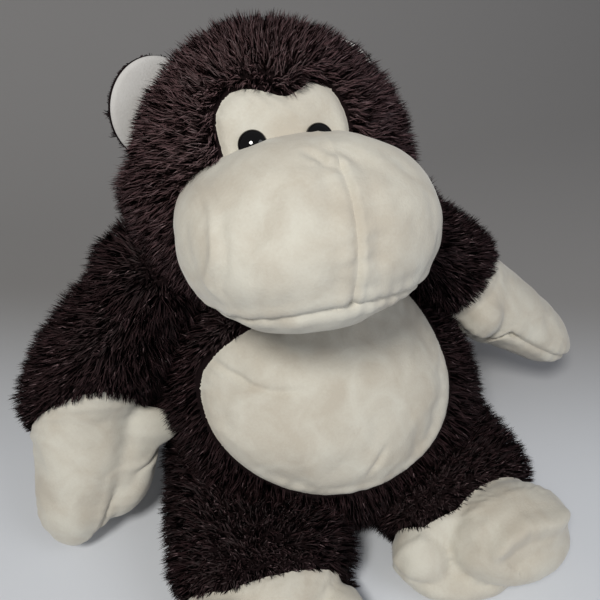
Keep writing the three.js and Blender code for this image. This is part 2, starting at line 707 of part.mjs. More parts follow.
// Each leg is a plush cover, two cloth panels that make the foot, and one filling. The lobes of the foot
// reach back over the ankle, so the cover is cut round them.
for (const leg of legs) {
  const footSide = halfSpace(leg.ankle, leg.along);
  const footStart = halfSpace(leg.ankle.clone().addScaledVector(leg.along, seamGap), leg.along);
  const legSpace = legForm(leg, plushThickness, innerFacets);
  const lobeRoom = footLobes(leg, -seamGap, smallFacets);
  const trouser = without(legForm(leg, 0, outerFacets), legSpace, footSide, lobeRoom);
  const hipHole = new THREE.CylinderGeometry(hipHoleRadius, hipHoleRadius, hipBallRadius, smallFacets.sides);
  hipHole.translate(leg.hip.x, leg.hip.y + hipBallRadius, leg.hip.z);
  addPiece(`leg_cover_${leg.name}`, without(trouser, toSolid(hipHole)), plush);

  const skin = joined(legForm(leg, 0, outerFacets).intersect(footStart), footLobes(leg, 0, smallFacets));
  const inAnkle = legForm(leg, clothThickness, innerFacets).intersect(footStart);
  const space = joined(inAnkle, footLobes(leg, clothThickness, innerFacets));
  const foot = without(skin, space, legSpace, below(soleFlat));
  addPiece(`foot_top_${leg.name}`, without(foot, below(footSeamHeight)), cream);
  addPiece(`foot_sole_${leg.name}`, foot.intersect(below(footSeamHeight - seamGap)), cream);

  const inLobes = footLobes(leg, clothThickness + seamGap, innerFacets);
  const inLeg = legForm(leg, plushThickness + seamGap, innerFacets);
  addPiece(`leg_filling_${leg.name}`, joined(inLeg, inLobes), fibre);
}

export default monkey;
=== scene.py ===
from math import cos, pi, radians, sin, sqrt, tan

import bmesh
import bpy
import numpy as np
from mathutils import Matrix, Vector
from mathutils.kdtree import KDTree


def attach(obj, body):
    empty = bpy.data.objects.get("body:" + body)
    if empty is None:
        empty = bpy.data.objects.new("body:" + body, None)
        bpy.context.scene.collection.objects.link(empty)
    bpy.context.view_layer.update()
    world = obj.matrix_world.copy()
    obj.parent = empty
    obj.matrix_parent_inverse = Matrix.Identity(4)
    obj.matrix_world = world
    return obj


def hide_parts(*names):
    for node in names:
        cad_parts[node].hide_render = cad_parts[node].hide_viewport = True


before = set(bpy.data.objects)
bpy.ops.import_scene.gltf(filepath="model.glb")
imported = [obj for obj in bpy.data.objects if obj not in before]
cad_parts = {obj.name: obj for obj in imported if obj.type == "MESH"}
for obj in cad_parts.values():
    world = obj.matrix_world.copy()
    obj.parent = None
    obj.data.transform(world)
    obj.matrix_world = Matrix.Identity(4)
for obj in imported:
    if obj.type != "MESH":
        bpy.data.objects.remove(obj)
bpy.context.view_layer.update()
mm = 0.001
sides = {"right": -1, "left": 1}  # the animal's own right and left, along X

# The photograph's view, in millimetres and degrees
view = {
    "azimuth": -20.4, "elevation": 37.0, "roll": -1.0, "distance": 384.9, "target": (7.7, -12.4, 124.3),
    "fieldOfView": 47.77,
}


def linked(name, data):
    made = bpy.data.objects.new(name, data)
    bpy.context.collection.objects.link(made)
    return made


def makeCamera():
    azimuth, elevation, roll = (radians(view[key]) for key in ("azimuth", "elevation", "roll"))
    level = Vector((sin(azimuth), -cos(azimuth), 0))
    back = level * cos(elevation) + Vector((0, 0, sin(elevation)))
    right = Vector((cos(azimuth), sin(azimuth), 0))
    up = back.cross(right)
    across = right * cos(roll) + up * sin(roll)
    upright = up * cos(roll) - right * sin(roll)
    data = bpy.data.cameras.new("camera")
    data.sensor_fit = "HORIZONTAL"
    data.angle = radians(view["fieldOfView"])
    data.clip_start = 0.01
    camera = linked("camera", data)
    place = Matrix.Translation((Vector(view["target"]) + back * view["distance"]) * mm)
    camera.matrix_world = place @ Matrix((across, upright, back)).transposed().to_4x4()
    bpy.context.scene.camera = camera


makeCamera()
print("camera placed")


def linear(colour):
    channels = [int(colour[i:i + 2], 16) / 255 for i in (1, 3, 5)]
    return [c / 12.92 if c <= 0.04045 else ((c + 0.055) / 1.055) ** 2.4 for c in channels] + [1]


def addNode(tree, kind, values=None, links=None, **settings):
    made = tree.nodes.new("ShaderNode" + kind)
    for name, value in settings.items():
        setattr(made, name, value)
    for name, value in (values or {}).items():
        made.inputs[name].default_value = value
    for name, source in (links or {}).items():
        tree.links.new(source, made.inputs[name])
    return made


def timesPlus(tree, factor, value, more):
    return addNode(tree, "Math", {1: factor}, {0: value, 2: more}, operation="MULTIPLY_ADD").outputs[0]


def newMaterial(name, values, surface=None):
    # surface(tree) adds the pattern's nodes and gives the sockets that drive the shader
    material = bpy.data.materials.new(name)
    material.use_nodes = True
    tree = material.node_tree
    tree.nodes.clear()
    shader = addNode(tree, "BsdfPrincipled", values, surface(tree) if surface else {})
    addNode(tree, "OutputMaterial", links={"Surface": shader.outputs[0]})
    return material


velboa = {
    "cream": ("#d2cec1", "#c1b9aa"), "offWhite": ("#d6d4d1", "#c9c6c2"),
    "grain": 1.2,     # mm, the sheared pile's tufts are about 0.4 and are drawn coarser to show
    "brushed": 18,    # mm across a patch that is brushed another way
    "handled": 45,    # mm across a patch that handling has greyed
    "handledShare": 0.55, "grainShare": 0.25,   # of what the brushed patches change
    "range": {"From Min": 0.7, "From Max": 1.1}, "bump": 0.5, "relief": 0.35,
    "shader": {"Roughness": 0.86, "Sheen Weight": 0.25, "Sheen Roughness": 0.5, "IOR": 1.45},
}


def velboaSurface(shades):
    # Sheared short pile: the eye gets a matt cloth with a fine grain and soft brushed patches
    def surface(tree):
        place = addNode(tree, "TexCoord").outputs["Object"]
        grain, brushed, handled = (
            addNode(tree, "TexNoise", {"Scale": 1000 / velboa[size], **more}, {"Vector": place})
            for size, more in (("grain", {"Detail": 3.0, "Roughness": 0.6}),
                               ("brushed", {"Detail": 4.0, "Distortion": 0.6}), ("handled", {"Detail": 2.0})))
        patches = timesPlus(tree, velboa["handledShare"], handled.outputs[0], brushed.outputs[0])
        both = timesPlus(tree, velboa["grainShare"], grain.outputs[0], patches)
        share = addNode(tree, "MapRange", velboa["range"], {"Value": both})
        colour = addNode(tree, "Mix", {6: linear(shades[1]), 7: linear(shades[0])}, {0: share.outputs[0]},
                         data_type="RGBA")
        bump = addNode(tree, "Bump", {"Strength": velboa["bump"], "Distance": velboa["relief"] * mm},
                       {"Height": grain.outputs[0]})
        return {"Base Color": colour.outputs[2], "Normal": bump.outputs[0]}
    return velboa["shader"], surface


creamCloth = newMaterial("velboa cream sheared", *velboaSurface(velboa["cream"]))
earCloth = newMaterial("velboa off-white sheared", *velboaSurface(velboa["offWhite"]))

# Acrylic long pile, extruded and curled: dark glossy lengths with frosted, paler ends
pileShades = {
    "acrylic pile nearly black": ("#2a1b1c", 0.6), "acrylic pile dark brown": ("#332123", 0.6),
    "acrylic pile brown ends": ("#453032", 0.55), "acrylic pile frosted ends": ("#7c6668", 0.45),
    # The two paler shades go on the head's pile. They are partly its frosting and partly painted light, making
    # the head lighter where the lamps fall on it.
    "acrylic pile paler brown with painted light": ("#4f3b3c", 0.55), "acrylic pile paler ends with painted light": ("#5e4648", 0.5),
}
pileFinishes = [
    newMaterial(name, {"Base Color": linear(colour), "Roughness": roughness, "IOR": 1.5,
                       "Specular IOR Level": 0.2})
    for name, (colour, roughness) in pileShades.items()
]


def knitSurface(tree):
    # Knitted backing under the pile: fine dark rows that only show where the pile parts
    place = addNode(tree, "TexCoord").outputs["Object"]
    rowPitch = 1.6   # mm
    rows = addNode(tree, "TexWave", {"Scale": 1000 / rowPitch / 20, "Distortion": 3.0, "Detail": 2.0},
                   {"Vector": place})
    bump = addNode(tree, "Bump", {"Strength": 0.4, "Distance": 0.3 * mm}, {"Height": rows.outputs[1]})
    return {"Normal": bump.outputs[0]}


backing = newMaterial("polyester knit dark backing", {
    "Base Color": linear("#170e0f"), "Roughness": 0.95, "Specular IOR Level": 0.1}, knitSurface)
# Moulded acrylic, polished: a black dome with one sharp highlight
eyeFinish = newMaterial("acrylic black polished", {
    "Base Color": linear("#050404"), "Roughness": 0.05, "IOR": 1.49})
# Injection moulded washer, out of sight behind the face cloth
washerFinish = newMaterial("polypropylene white moulded", {
    "Base Color": linear("#e6e6e2"), "Roughness": 0.4})
print("materials made")


def unit(vectors):
    vectors = np.asarray(vectors, dtype=float)
    return vectors / np.maximum(np.linalg.norm(vectors, axis=-1, keepdims=True), 1e-9)


# Points are in millimetres until a mesh is made of them
def newPiece(name, points, faces, *materials):
    mesh = bpy.data.meshes.new(name)
    mesh.from_pydata((np.asarray(points) * mm).tolist(), [], faces)
    mesh.shade_smooth()
    for material in materials:
        mesh.materials.append(material)
    return linked(name, mesh)


def read(items, name, width=3, kind=float):
    flat = np.empty(len(items) * width, dtype=kind)
    items.foreach_get(name, flat)
    return flat.reshape(-1, width)


def pointsOf(piece):
    return read(piece.data.vertices, "co") / mm


def normalsOf(piece):
    return read(piece.data.vertex_normals, "vector")


def movePoints(piece, points):
    piece.data.vertices.foreach_set("co", (points * mm).ravel())
    piece.data.update()


def swell(piece, heights):
    movePoints(piece, pointsOf(piece) + normalsOf(piece) * np.asarray(heights)[:, None])


def change(piece, kind, **settings):
    # Works out a modifier and keeps the result as the piece's mesh
    modifier = piece.modifiers.new(kind.lower(), kind)
    for name, value in settings.items():
        setattr(modifier, name, value)
    bpy.context.view_layer.update()
    mesh = bpy.data.meshes.new_from_object(piece.evaluated_get(bpy.context.evaluated_depsgraph_get()))
    piece.modifiers.clear()
    old, piece.data = piece.data, mesh
    bpy.data.meshes.remove(old)
    mesh.shade_smooth()


def discard(piece):
    mesh = piece.data
    bpy.data.objects.remove(piece)
    bpy.data.meshes.remove(mesh)


def ballMesh(center, halfSizes, fullness=2.0, basis=None, detail=5):
    made = bmesh.new()
    bmesh.ops.create_icosphere(made, subdivisions=detail, radius=1)
    points = np.array([v.co[:] for v in made.verts])
    faces = [[v.index for v in f.verts] for f in made.faces]
    made.free()
    size = (np.abs(points) ** fullness).sum(axis=1) ** (1 / fullness)
    points = points / size[:, None] * np.asarray(halfSizes, dtype=float)
    return (points if basis is None else points @ basis) + center, faces


def ringMesh(rings):
    # Skins a list of rings of points whose first and last are single points
    points = np.concatenate([np.atleast_2d(ring) for ring in rings])
    starts = np.cumsum([0, *(len(np.atleast_2d(ring)) for ring in rings)])
    count, last, faces = len(rings[1]), len(rings) - 1, []
    for ring in range(last):
        a, b = starts[ring], starts[ring + 1]
        for i in range(count):
            j = (i + 1) % count
            face = [a + i, a + j, b + j, b + i]
            if ring == 0:
                face = [a, b + j, b + i]
            elif ring == last - 1:
                face = [a + i, a + j, b]
            faces.append([int(k) for k in face])
    return points, faces


def turned(profile, count, axes, place):
    # Turns a profile of radii and runs round an axis; axes gives the order of the two radial ways and the run
    angles = np.linspace(0, 2 * pi, count, endpoint=False)
    rings = []
    for radius, along in profile:
        ways = radius * np.cos(angles), radius * np.sin(angles), np.full(count, float(along))
        ring = np.stack([ways[axis] for axis in axes], axis=1)
        rings.append(place(ring if radius else ring[0]))
    return ringMesh(rings)


def blend(first, second, start, end, at):
    return ((end - at) * first + (at - start) * second) / (end - start)


spineSteps = 200


def spineThrough(points, count=spineSteps):
    # An even curve through the points, centripetal like the pattern's own, with its directions and length
    knots = [np.asarray(p, dtype=float) for p in points]
    knots = [2 * knots[0] - knots[1], *knots, 2 * knots[-1] - knots[-2]]
    dense = []
    for p0, p1, p2, p3 in zip(knots, knots[1:], knots[2:], knots[3:]):
        t0 = 0
        t1, t2, t3 = np.cumsum([np.linalg.norm(b - a) ** 0.5 for a, b in ((p0, p1), (p1, p2), (p2, p3))])
        for t in np.linspace(t1, t2, 24, endpoint=False):
            a1, a2, a3 = blend(p0, p1, t0, t1, t), blend(p1, p2, t1, t2, t), blend(p2, p3, t2, t3, t)
            dense.append(blend(blend(a1, a2, t0, t2, t), blend(a2, a3, t1, t3, t), t1, t2, t))
    dense = np.array([*dense, knots[-2]])
    run = np.concatenate([[0], np.cumsum(np.linalg.norm(np.diff(dense, axis=0), axis=1))])
    even = np.stack([np.interp(np.linspace(0, run[-1], count), run, dense[:, i]) for i in range(3)], axis=1)
    return even, unit(np.gradient(even, axis=0)), run[-1]


def limbMesh(spine, across, shares, halfWidths, halfDepths, domes, rings=48, count=64):
    line, tangents, length = spineThrough(spine)
    last = spineSteps - 1
    angles = np.linspace(0, 2 * pi, count, endpoint=False)
    made = [line[0]]
    for ring in range(1, rings):
        share = (1 - cos(pi * ring / rings)) / 2
        at = share * last
        center = line[int(at)] + (line[min(int(at) + 1, last)] - line[int(at)]) * (at % 1)
        tangent = tangents[int(at)]
        wide = unit(across - np.dot(across, tangent) * tangent)
        deep = np.cross(tangent, wide)
        close = 1.0
        for distance, dome in zip((share * length, (1 - share) * length), domes):
            close *= sqrt(1 - (1 - min(distance / dome, 1)) ** 2)
        halfWidth = np.interp(share, shares, halfWidths) * close
        halfDepth = np.interp(share, shares, halfDepths) * close
        made.append(center + np.outer(np.cos(angles) * halfWidth, wide)
                    + np.outer(np.sin(angles) * halfDepth, deep))
    return ringMesh([*made, line[-1]])


def fuse(name, meshes, voxel, rounds):
    starts = np.cumsum([0, *(len(points) for points, _ in meshes)])
    faces = [[int(i + start) for i in face] for (_, some), start in zip(meshes, starts) for face in some]
    piece = newPiece(name, np.concatenate([points for points, _ in meshes]), faces)
    change(piece, "REMESH", mode="VOXEL", voxel_size=voxel * mm)
    change(piece, "SMOOTH", iterations=rounds, factor=0.5)
    return piece


def spread(piece, values):
    # Each point's mean over its neighbours
    edges = read(piece.data.edges, "vertices", 2, np.int64)
    total, count = np.zeros_like(values, dtype=float), np.zeros(len(values))
    for a, b in (edges.T, edges.T[::-1]):
        np.add.at(total, a, values[b])
        np.add.at(count, a, 1)
    return total / (count[:, None] if values.ndim > 1 else count)


def deepenFolds(piece, gain, most):
    # Where stuffed forms meet, the cloth between them is drawn into a fold
    points, normals = pointsOf(piece), normalsOf(piece)
    hollow = ((spread(piece, points) - points) * normals).sum(axis=1)
    hollow = np.clip(spread(piece, np.maximum(hollow, 0)), 0, None)
    swell(piece, -np.minimum(hollow * gain, most))


farAway = 99.0   # mm, stands for no seam near
stuffing = {
    "grain": 5.0, "fade": 12.0,   # mm of the coarse cloth's mesh, and from a seam to where the cloth is free
    "start": 1.2, "most": 4.0, "frames": 20,   # mm that the cloth starts inside and may move
    "cloth": {"quality": 6, "mass": 0.2, "use_pressure": True, "uniform_pressure_force": 4.0,
              "shrink_min": -0.03},
}


def treeOf(points):
    tree = KDTree(len(points))
    for index, point in enumerate(points):
        tree.insert(point, index)
    tree.balance()
    return tree


def under(height):
    # A field that is nought on the base, up to this height
    return lambda points: np.where(points[:, 2] < height, 0, farAway)


def stuff(piece, held, share=1.0):
    # Fills the form: the cloth swells and creases between the places that are held, where a field is nought
    rough = linked("rough", piece.data.copy())
    change(rough, "REMESH", mode="VOXEL", voxel_size=stuffing["grain"] * mm)
    away = np.min([np.abs(field(pointsOf(rough))) for field in held], axis=0)
    grip = np.clip(1 - away / stuffing["fade"], 0, 1) ** 2
    swell(rough, -stuffing["start"] * (1 - grip))
    before = pointsOf(rough)
    group = rough.vertex_groups.new(name="seams")
    for index, weight in enumerate(grip):
        group.add([index], float(weight), "REPLACE")
    cloth = rough.modifiers.new("cloth", "CLOTH")
    for name, value in stuffing["cloth"].items():
        setattr(cloth.settings, name, value)
    cloth.settings.vertex_group_mass = "seams"
    cloth.settings.effector_weights.gravity = 0
    cloth.point_cache.frame_start = 1
    cloth.point_cache.frame_end = stuffing["frames"]
    for moment in range(1, stuffing["frames"] + 1):
        bpy.context.scene.frame_set(moment)
    seen = rough.evaluated_get(bpy.context.evaluated_depsgraph_get()).data
    after = np.array([v.co[:] for v in seen.vertices]) / mm
    bpy.context.scene.frame_set(1)
    moved = after - before
    far = np.linalg.norm(moved, axis=1, keepdims=True)
    moved = moved * np.minimum(1, stuffing["most"] / np.maximum(far, 1e-6)) - stuffing["start"] * (
        normalsOf(rough) * (1 - grip)[:, None])
    print(piece.name, "stuffed, moved", round(float(far.mean()), 2), "mm, at most", round(float(far.max()), 2))
    tree, points = treeOf(before), pointsOf(piece)
    for index, point in enumerate(points):
        near = tree.find_n(point, 6)
        weights = np.array([1 / (distance + 0.5) ** 2 for _, _, distance in near])
        shift = (moved[[i for _, i, _ in near]] * weights[:, None]).sum(axis=0) / weights.sum()
        points[index] = point + share * shift
    movePoints(piece, points)
    discard(rough)


def slit(piece, field, sliver=0.15):
    # Gives the mesh an edge all along the line where the field is nought
    made = bmesh.new()
    made.from_mesh(piece.data)
    value = field(pointsOf(piece))
    value[np.abs(value) < sliver] = sliver   # mm, so that no slivers are cut beside the line
    cut = []
    for edge in list(made.edges):
        a, b = (value[v.index] for v in edge.verts)
        if a * b < 0:
            cut.append(bmesh.utils.edge_split(edge, edge.verts[0], a / (a - b))[1])
    bmesh.ops.connect_verts(made, verts=cut)
    made.to_mesh(piece.data)
    made.free()
    piece.data.shade_smooth()


def cutOut(form, fields, *patterns):
    # Cuts the form along the fields' lines and marks its faces with their panel's number, before the sewing
    # moves them. A pattern is each field's sign on its panel, and what fits none stays with panel 0.
    for field in fields:
        slit(form, field)
    middles = read(form.data.polygons, "center") / mm
    values, marks = [field(middles) for field in fields], np.zeros(len(middles), dtype=np.int32)
    for number, signs in enumerate(patterns, 1):
        marks[np.all([sign * value > 0 for sign, value in zip(signs, values)], axis=0)] = number
    form.data.polygons.foreach_set("material_index", marks)


def panel(source, name, number, material):
    # A cloth panel of its own: the faces of the sewn form that were marked with its number
    made = bmesh.new()
    made.from_mesh(source.data)
    bmesh.ops.delete(made, geom=[f for f in made.faces if f.material_index != number], context="FACES")
    for face in made.faces:
        face.material_index = 0
    mesh = bpy.data.meshes.new(name)
    made.to_mesh(mesh)
    made.free()
    mesh.materials.append(material)
    mesh.shade_smooth()
    return linked(name, mesh)


def finishPiece(piece, body, slot, *nodes, fill=None):
    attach(piece, body)
    if nodes:
        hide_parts(*nodes)
    return piece


cloths = {"dark_plush": backing, "cream_velboa": creamCloth, "ear_velboa": earCloth}
firmness = {"body": 0.85, "head": 0.9, "limb": 0.8}   # a fill for each, handed on with the sewn panels


def sewPanels(form, body, fill, *parts):
    # Takes the sewn form apart into panels; each part is a name, a slot and the nodes it stands for
    made = [finishPiece(panel(form, name, number, cloths[slot]), body, slot, *nodes, fill=fill)
            for number, (name, slot, *nodes) in enumerate(parts)]
    discard(form)
    return made


def arch(share, end, power):
    # Fades a mark out towards both ends of its line
    return np.sin(pi * np.clip(share, end, 1 - end)) ** power


def nearLine(flat, line):
    # Distance of flat points to a line of points, and how far along it they lie
    least, where, run = np.full(len(flat), 1e9), np.zeros(len(flat)), 0.0
    for a, b in zip(np.array(line[:-1], dtype=float), np.array(line[1:], dtype=float)):
        length = np.linalg.norm(b - a)
        share = np.clip((flat - a) @ (b - a) / length ** 2, 0, 1)
        gap = np.linalg.norm(flat - a - share[:, None] * (b - a), axis=1)
        where = np.where(gap < least, run + share * length, where)
        least, run = np.minimum(least, gap), run + length
    return least, where / run


def bell(distance, width):
    return np.exp(-(distance / width) ** 2)


def ramp(value, start, end):
    share = np.clip((value - start) / (end - start), 0, 1)
    return share * share * (3 - 2 * share)


seam = {"depth": 1.5, "width": 1.7, "ridge": 0.5, "pucker": 0.5, "pitch": 7.0, "reach": 6.0}


def sew(piece, distance, along, strength=1.0):
    # Draws the cloth into a seam, with a soft ridge each side and puckers that run out from the stitches
    points = pointsOf(piece)
    away, run = np.abs(distance(points)), along(points)
    groove = -seam["depth"] * bell(away, seam["width"])
    ridge = seam["ridge"] * bell(away - 3 * seam["width"], 2.5)
    wave = np.sin(2 * pi * run / seam["pitch"] + 1.7 * np.sin(run / 9.0)) * np.sin(run / 23.0 + 1)
    pucker = seam["pucker"] * wave * np.exp(-away / seam["reach"]) * (1 - bell(away, 1.5))
    swell(piece, strength * (groove + ridge + pucker))


# Pile: strands gathered in tufts that lean to a common tip
pile = {
    "density": 1.35,   # strands to a square millimetre, about a quarter of the real pile, and as much wider
    "width": 0.5, "length": 12.0, "tuftStrands": 12, "tuftPull": 0.4, "lean": 0.3, "stray": 0.27,
    "frosted": 0.05, "brown": 0.25, "quickShare": 0.5,
    "shades": (0, 1, 2, 3),   # of two for the lengths, one for the brown ends and one for the frosted
    "shortEnd": 7.0, "seamShare": 0.5,   # mm from a seam within which the pile gets shorter, down to this share
    "tuftLengths": (0.75, 1.12), "strandLengths": (0.7, 1.0), "curl": 0.12,   # shares of the length
    "firstShade": 0.6, "turn": 0.25,   # share of the first shade, and how far a strand's side turns its normal
}


def growPile(name, skin, body, comb, seed, toSeam, keep, **other):
    values = {**pile, **other}
    chance = np.random.default_rng(seed)
    mesh = skin.data
    mesh.calc_loop_triangles()
    corners = read(mesh.loop_triangles, "vertices", 3, np.int32)
    points, normals = pointsOf(skin), normalsOf(skin)
    a, b, c = (points[corners[:, i]] for i in range(3))
    areas = np.linalg.norm(np.cross(b - a, c - a), axis=1) / 2
    count = int(areas.sum() * values["density"] * (1))
    pick = chance.choice(len(areas), count, p=areas / areas.sum())
    u, v = chance.random(count), chance.random(count)
    u, v = np.where(u + v > 1, 1 - u, u), np.where(u + v > 1, 1 - v, v)
    weights = np.stack([1 - u - v, u, v], axis=1)[..., None]
    roots = (points[corners[pick]] * weights).sum(axis=1)
    out = unit((normals[corners[pick]] * weights).sum(axis=1))
    kept = keep(roots)
    roots, out = roots[kept], out[kept]
    count = len(roots)
    along = comb(roots)
    along = along - (along * out).sum(axis=1, keepdims=True) * out

    tufts = max(count // values["tuftStrands"], 1)
    tree = treeOf(roots[:tufts])
    mine = np.array([tree.find(root)[1] for root in roots])
    trim = values["seamShare"] + (1 - values["seamShare"]) * ramp(toSeam(roots), 0, values["shortEnd"])
    tuftReach = values["length"] * chance.uniform(*values["tuftLengths"], tufts) * trim[:tufts]
    tuftWay = out[:tufts] + values["lean"] * along[:tufts] + values["stray"] * chance.normal(size=(tufts, 3))
    tuftTip = roots[:tufts] + unit(tuftWay) * tuftReach[:, None]
    own = out + values["lean"] * along + 0.8 * values["stray"] * chance.normal(size=(count, 3))
    reach = np.minimum(tuftReach[mine], values["length"] * trim * 1.1)
    reach = (reach * chance.uniform(*values["strandLengths"], count))[:, None]
    tips = roots + unit(own) * reach
    tips = tips + (tuftTip[mine] - tips) * values["tuftPull"]
    tips = roots + unit(tips - roots) * reach
    middles = (roots + tips) / 2 + out * values["curl"] * reach
    wide = unit(np.cross(tips - roots, chance.normal(size=(count, 3)))) * values["width"] / 2
    strand = np.stack([roots - wide, roots + wide, middles - 0.8 * wide, middles + 0.8 * wide, tips], axis=1)
    strand[..., 2] = np.maximum(strand[..., 2], 0.4)

    made = bpy.data.meshes.new(name)
    made.vertices.add(count * 5)
    made.vertices.foreach_set("co", (strand * mm).ravel())
    first = np.arange(count)[:, None]
    made.loops.add(count * 7)
    order = np.array([0, 1, 3, 2, 2, 3, 4])
    made.loops.foreach_set("vertex_index", (first * 5 + order).ravel().astype(np.int32))
    made.polygons.add(count * 2)
    made.polygons.foreach_set("loop_start", (first * 7 + np.array([0, 4])).ravel().astype(np.int32))
    luck = chance.random((count, 2))
    most, some, brown, frosted = values["shades"]
    lengths = np.where(luck[:, 0] < values["firstShade"], most, some)
    ends = np.where(luck[:, 1] < values["brown"], brown, lengths)
    ends = np.where(luck[:, 1] < values["frosted"], frosted, ends)
    made.polygons.foreach_set("material_index", np.stack([lengths, ends], axis=1).ravel().astype(np.int32))
    for finish in pileFinishes:
        made.materials.append(finish)
    made.update(calc_edges=True)
    made.shade_smooth()
    flat = unit(np.cross(wide, tips - roots))
    flat = flat * np.sign((flat * out).sum(axis=1, keepdims=True) + 1e-9)
    facing = unit(out + values["turn"] * flat)
    made.normals_split_custom_set_from_vertices(np.repeat(facing, 5, axis=0).tolist())
    finishPiece(linked(name, made), body, "dark_plush")
    print(name, count, "strands")


# Body: a pear that sways forward and leans to its left, with the belly let into its front
body = {
    "halfWidth": 87, "crown": 164, "sink": 7, "depthShare": 0.82, "sway": 29, "lean": 20,
    "heights": [0, 0.03, 0.12, 0.26, 0.44, 0.58, 0.71, 0.82, 0.91, 0.97, 1],
    "widths": [0, 0.56, 0.83, 0.97, 1, 0.95, 0.83, 0.68, 0.5, 0.29, 0],
    "sways": [0.35, 0.5, 0.8, 0.98, 1, 0.92, 0.6, 0.3, 0.1, 0, 0],
    "leans": [0.75, 0.8, 0.95, 1, 0.85, 0.56, 0.34, 0.07, -0.07, -0.15, -0.15],
}
belly = {
    "halfWidth": 70, "halfHeight": 45, "height": 101, "shift": 8, "frontEdge": 22, "round": 60,
    "marks": [   # each a line in X and Z, its depth and the height of the ridge above it
        # a crease across the upper right, where the chest folds over
        ([(-54, 123), (-48.5, 121.6), (-39.5, 118.9), (-29, 117), (-15, 117)], 1.9, 1.0),
        # a pucker low on the left
        ([(11, 69), (13, 74), (16.5, 78), (22, 85)], 1.4, 0.6),
    ],
}
head = {
    "radius": 68, "center": (-3, 5, 197), "turn": -3.5,
    "swing": (-25, -12, 0, 12, 25),   # degrees that the neck's joint turns it by
    "crown": (0, 10, 55),             # where the pile parts, from the head's middle
    # The head's pile takes the paler shades and more frosted ends. This is partly its own frosting and partly
    # painted light where the lamps fall on the top and left of the head.
    "pile": {"stray": 0.3, "frosted": 0.14, "brown": 0.75, "shades": (4, 4, 5, 3), "seamShare": 0.15},
}
headCenter = np.array(head["center"], dtype=float)


def bodySection(heights):
    # The middle and half width of the body at each height
    share = (heights + body["sink"]) / (body["crown"] + body["sink"])
    x = np.interp(share, body["heights"], body["leans"]) * body["lean"]
    y = -np.interp(share, body["heights"], body["sways"]) * body["sway"]
    return x, y, np.interp(share, body["heights"], body["widths"]) * body["halfWidth"]


def insideBody(points, margin):
    x, y, radius = bodySection(points[:, 2])
    radius = np.maximum(radius - margin, 1)
    reach = ((points[:, 0] - x) / radius) ** 2 + ((points[:, 1] - y) / (radius * body["depthShare"])) ** 2
    return (reach < 1) & (points[:, 2] > 0)


def bodyMesh(rings=64, count=96):
    height = body["crown"] + body["sink"]
    stations = [(width * body["halfWidth"], 0, share * height - body["sink"])
                for share, width in zip(body["heights"], body["widths"])]
    outline = spineThrough(stations, rings + 1)[0]
    angles = np.linspace(0, 2 * pi, count, endpoint=False)
    made = []
    for ring, (radius, _, z) in enumerate(outline):
        x, y, _ = bodySection(z)
        hoop = np.stack([x + radius * np.cos(angles), y + radius * body["depthShare"] * np.sin(angles),
                           np.full(count, z)], axis=1)
        made.append(np.array([x, y, z]) if ring in (0, rings) else hoop)
    return ringMesh(made)


def bellyField(points):
    # Distance outside the belly panel's seam, negative on the panel
    x = (points[:, 0] - belly["shift"]) / belly["halfWidth"]
    z = (points[:, 2] - belly["height"]) / belly["halfHeight"]
    oval = (np.hypot(x, z) - 1) * belly["halfHeight"] * 1.15
    return np.maximum(oval, points[:, 1] + belly["frontEdge"])


def bellyRun(points):
    return belly["round"] * np.arctan2(points[:, 2] - belly["height"], points[:, 0] - belly["shift"])


def flatUnder(piece, height=0.5):
    points = pointsOf(piece)
    points[:, 2] = np.maximum(points[:, 2], height)
    movePoints(piece, points)


torso = fuse("torso", [bodyMesh()], 2.6, 3)
flatUnder(torso)
stuff(torso, [bellyField, under(4)])
change(torso, "SUBSURF", levels=1)
cutOut(torso, [bellyField], (1,))
sew(torso, bellyField, bellyRun, 0.8)
onFront = pointsOf(torso)
inFront = onFront[:, 1] < -20
for line, deep, above in belly["marks"]:
    away, share = nearLine(onFront[:, [0, 2]], line)
    fade = inFront * arch(share, 0.02, 0.5)
    over = ramp(onFront[:, 2], line[0][1] - 2, line[0][1] + 6)
    swell(torso, fade * (above * bell(away - 4, 3.5) * over - deep * bell(away, 1.6)))
bodySkin = sewPanels(torso, "body", firmness["body"], ("bellyPanel", "cream_velboa", "belly_panel"),
                     ("bodySkin", "dark_plush", "body_cover", "body_filling"))[1]


def down(points):
    # Combed down, and flat along the belly's seam
    lie = ramp(-np.abs(bellyField(points)), -6, 0)
    return np.array([0.0, 0.0, -1.0]) * (1 + 2.0 * lie)[:, None]


def bodyPileKeep(points):
    covered = np.linalg.norm(points - headCenter, axis=1) < head["radius"] - 4
    return (bellyField(points) > 0.5) & (points[:, 2] > 2) & ~covered


growPile("bodyPile", bodySkin, "body", down, 11, bellyField, bodyPileKeep)
print("body made")


# Head: a ball with the muzzle cushion on its front and the brow-shaped face panel above it
muzzle = {
    "halfSizes": (60, 53, 41), "forward": 65, "rise": 5, "fullness": 2.15, "mouthDrop": 7.5, "mouthEndDrop": 27,
    "noseShift": 3, "noseBow": 0.13, "rootDrop": 2.3, "cheekDrop": 1.6, "cheekOut": 2.2, "cheekRise": 2.0,
    "chinTuck": 4.0, "dartRidge": 1.7, "tuckDepth": 1.1, "allowance": 0.7,
    "dart": [(-43, 30), (-45, 24), (-46.4, 17), (-49.7, 6), (-46.6, -1)],   # on the right cheek, left and up
    "tuck": [(-3, 77), (0.8, 80), (3, 85), (8.5, 87)],   # where the middle seam ends on top, left and forward
}
face = {
    "turn": -8,
    # the panel's cut edge, left and up from the head's middle, its lower end under the muzzle
    "edge": [(-25, 10), (-26.2, 28), (-27.2, 36.5), (-27.9, 41.4), (-28.3, 45.5), (-27.3, 49.8),
             (-24.3, 53.6), (-20, 56.5), (-14.3, 58), (-9, 58), (-4.8, 57.2), (-0.4, 56.1), (3.7, 55.4),
             (7.1, 56), (10.6, 56.9), (15.1, 58), (19.2, 57.8), (22.7, 56.3), (25.8, 53.9), (28.2, 50.7),
             (29.9, 46.6), (30.6, 42.8), (30.4, 38), (29.5, 28), (28, 10)],
}


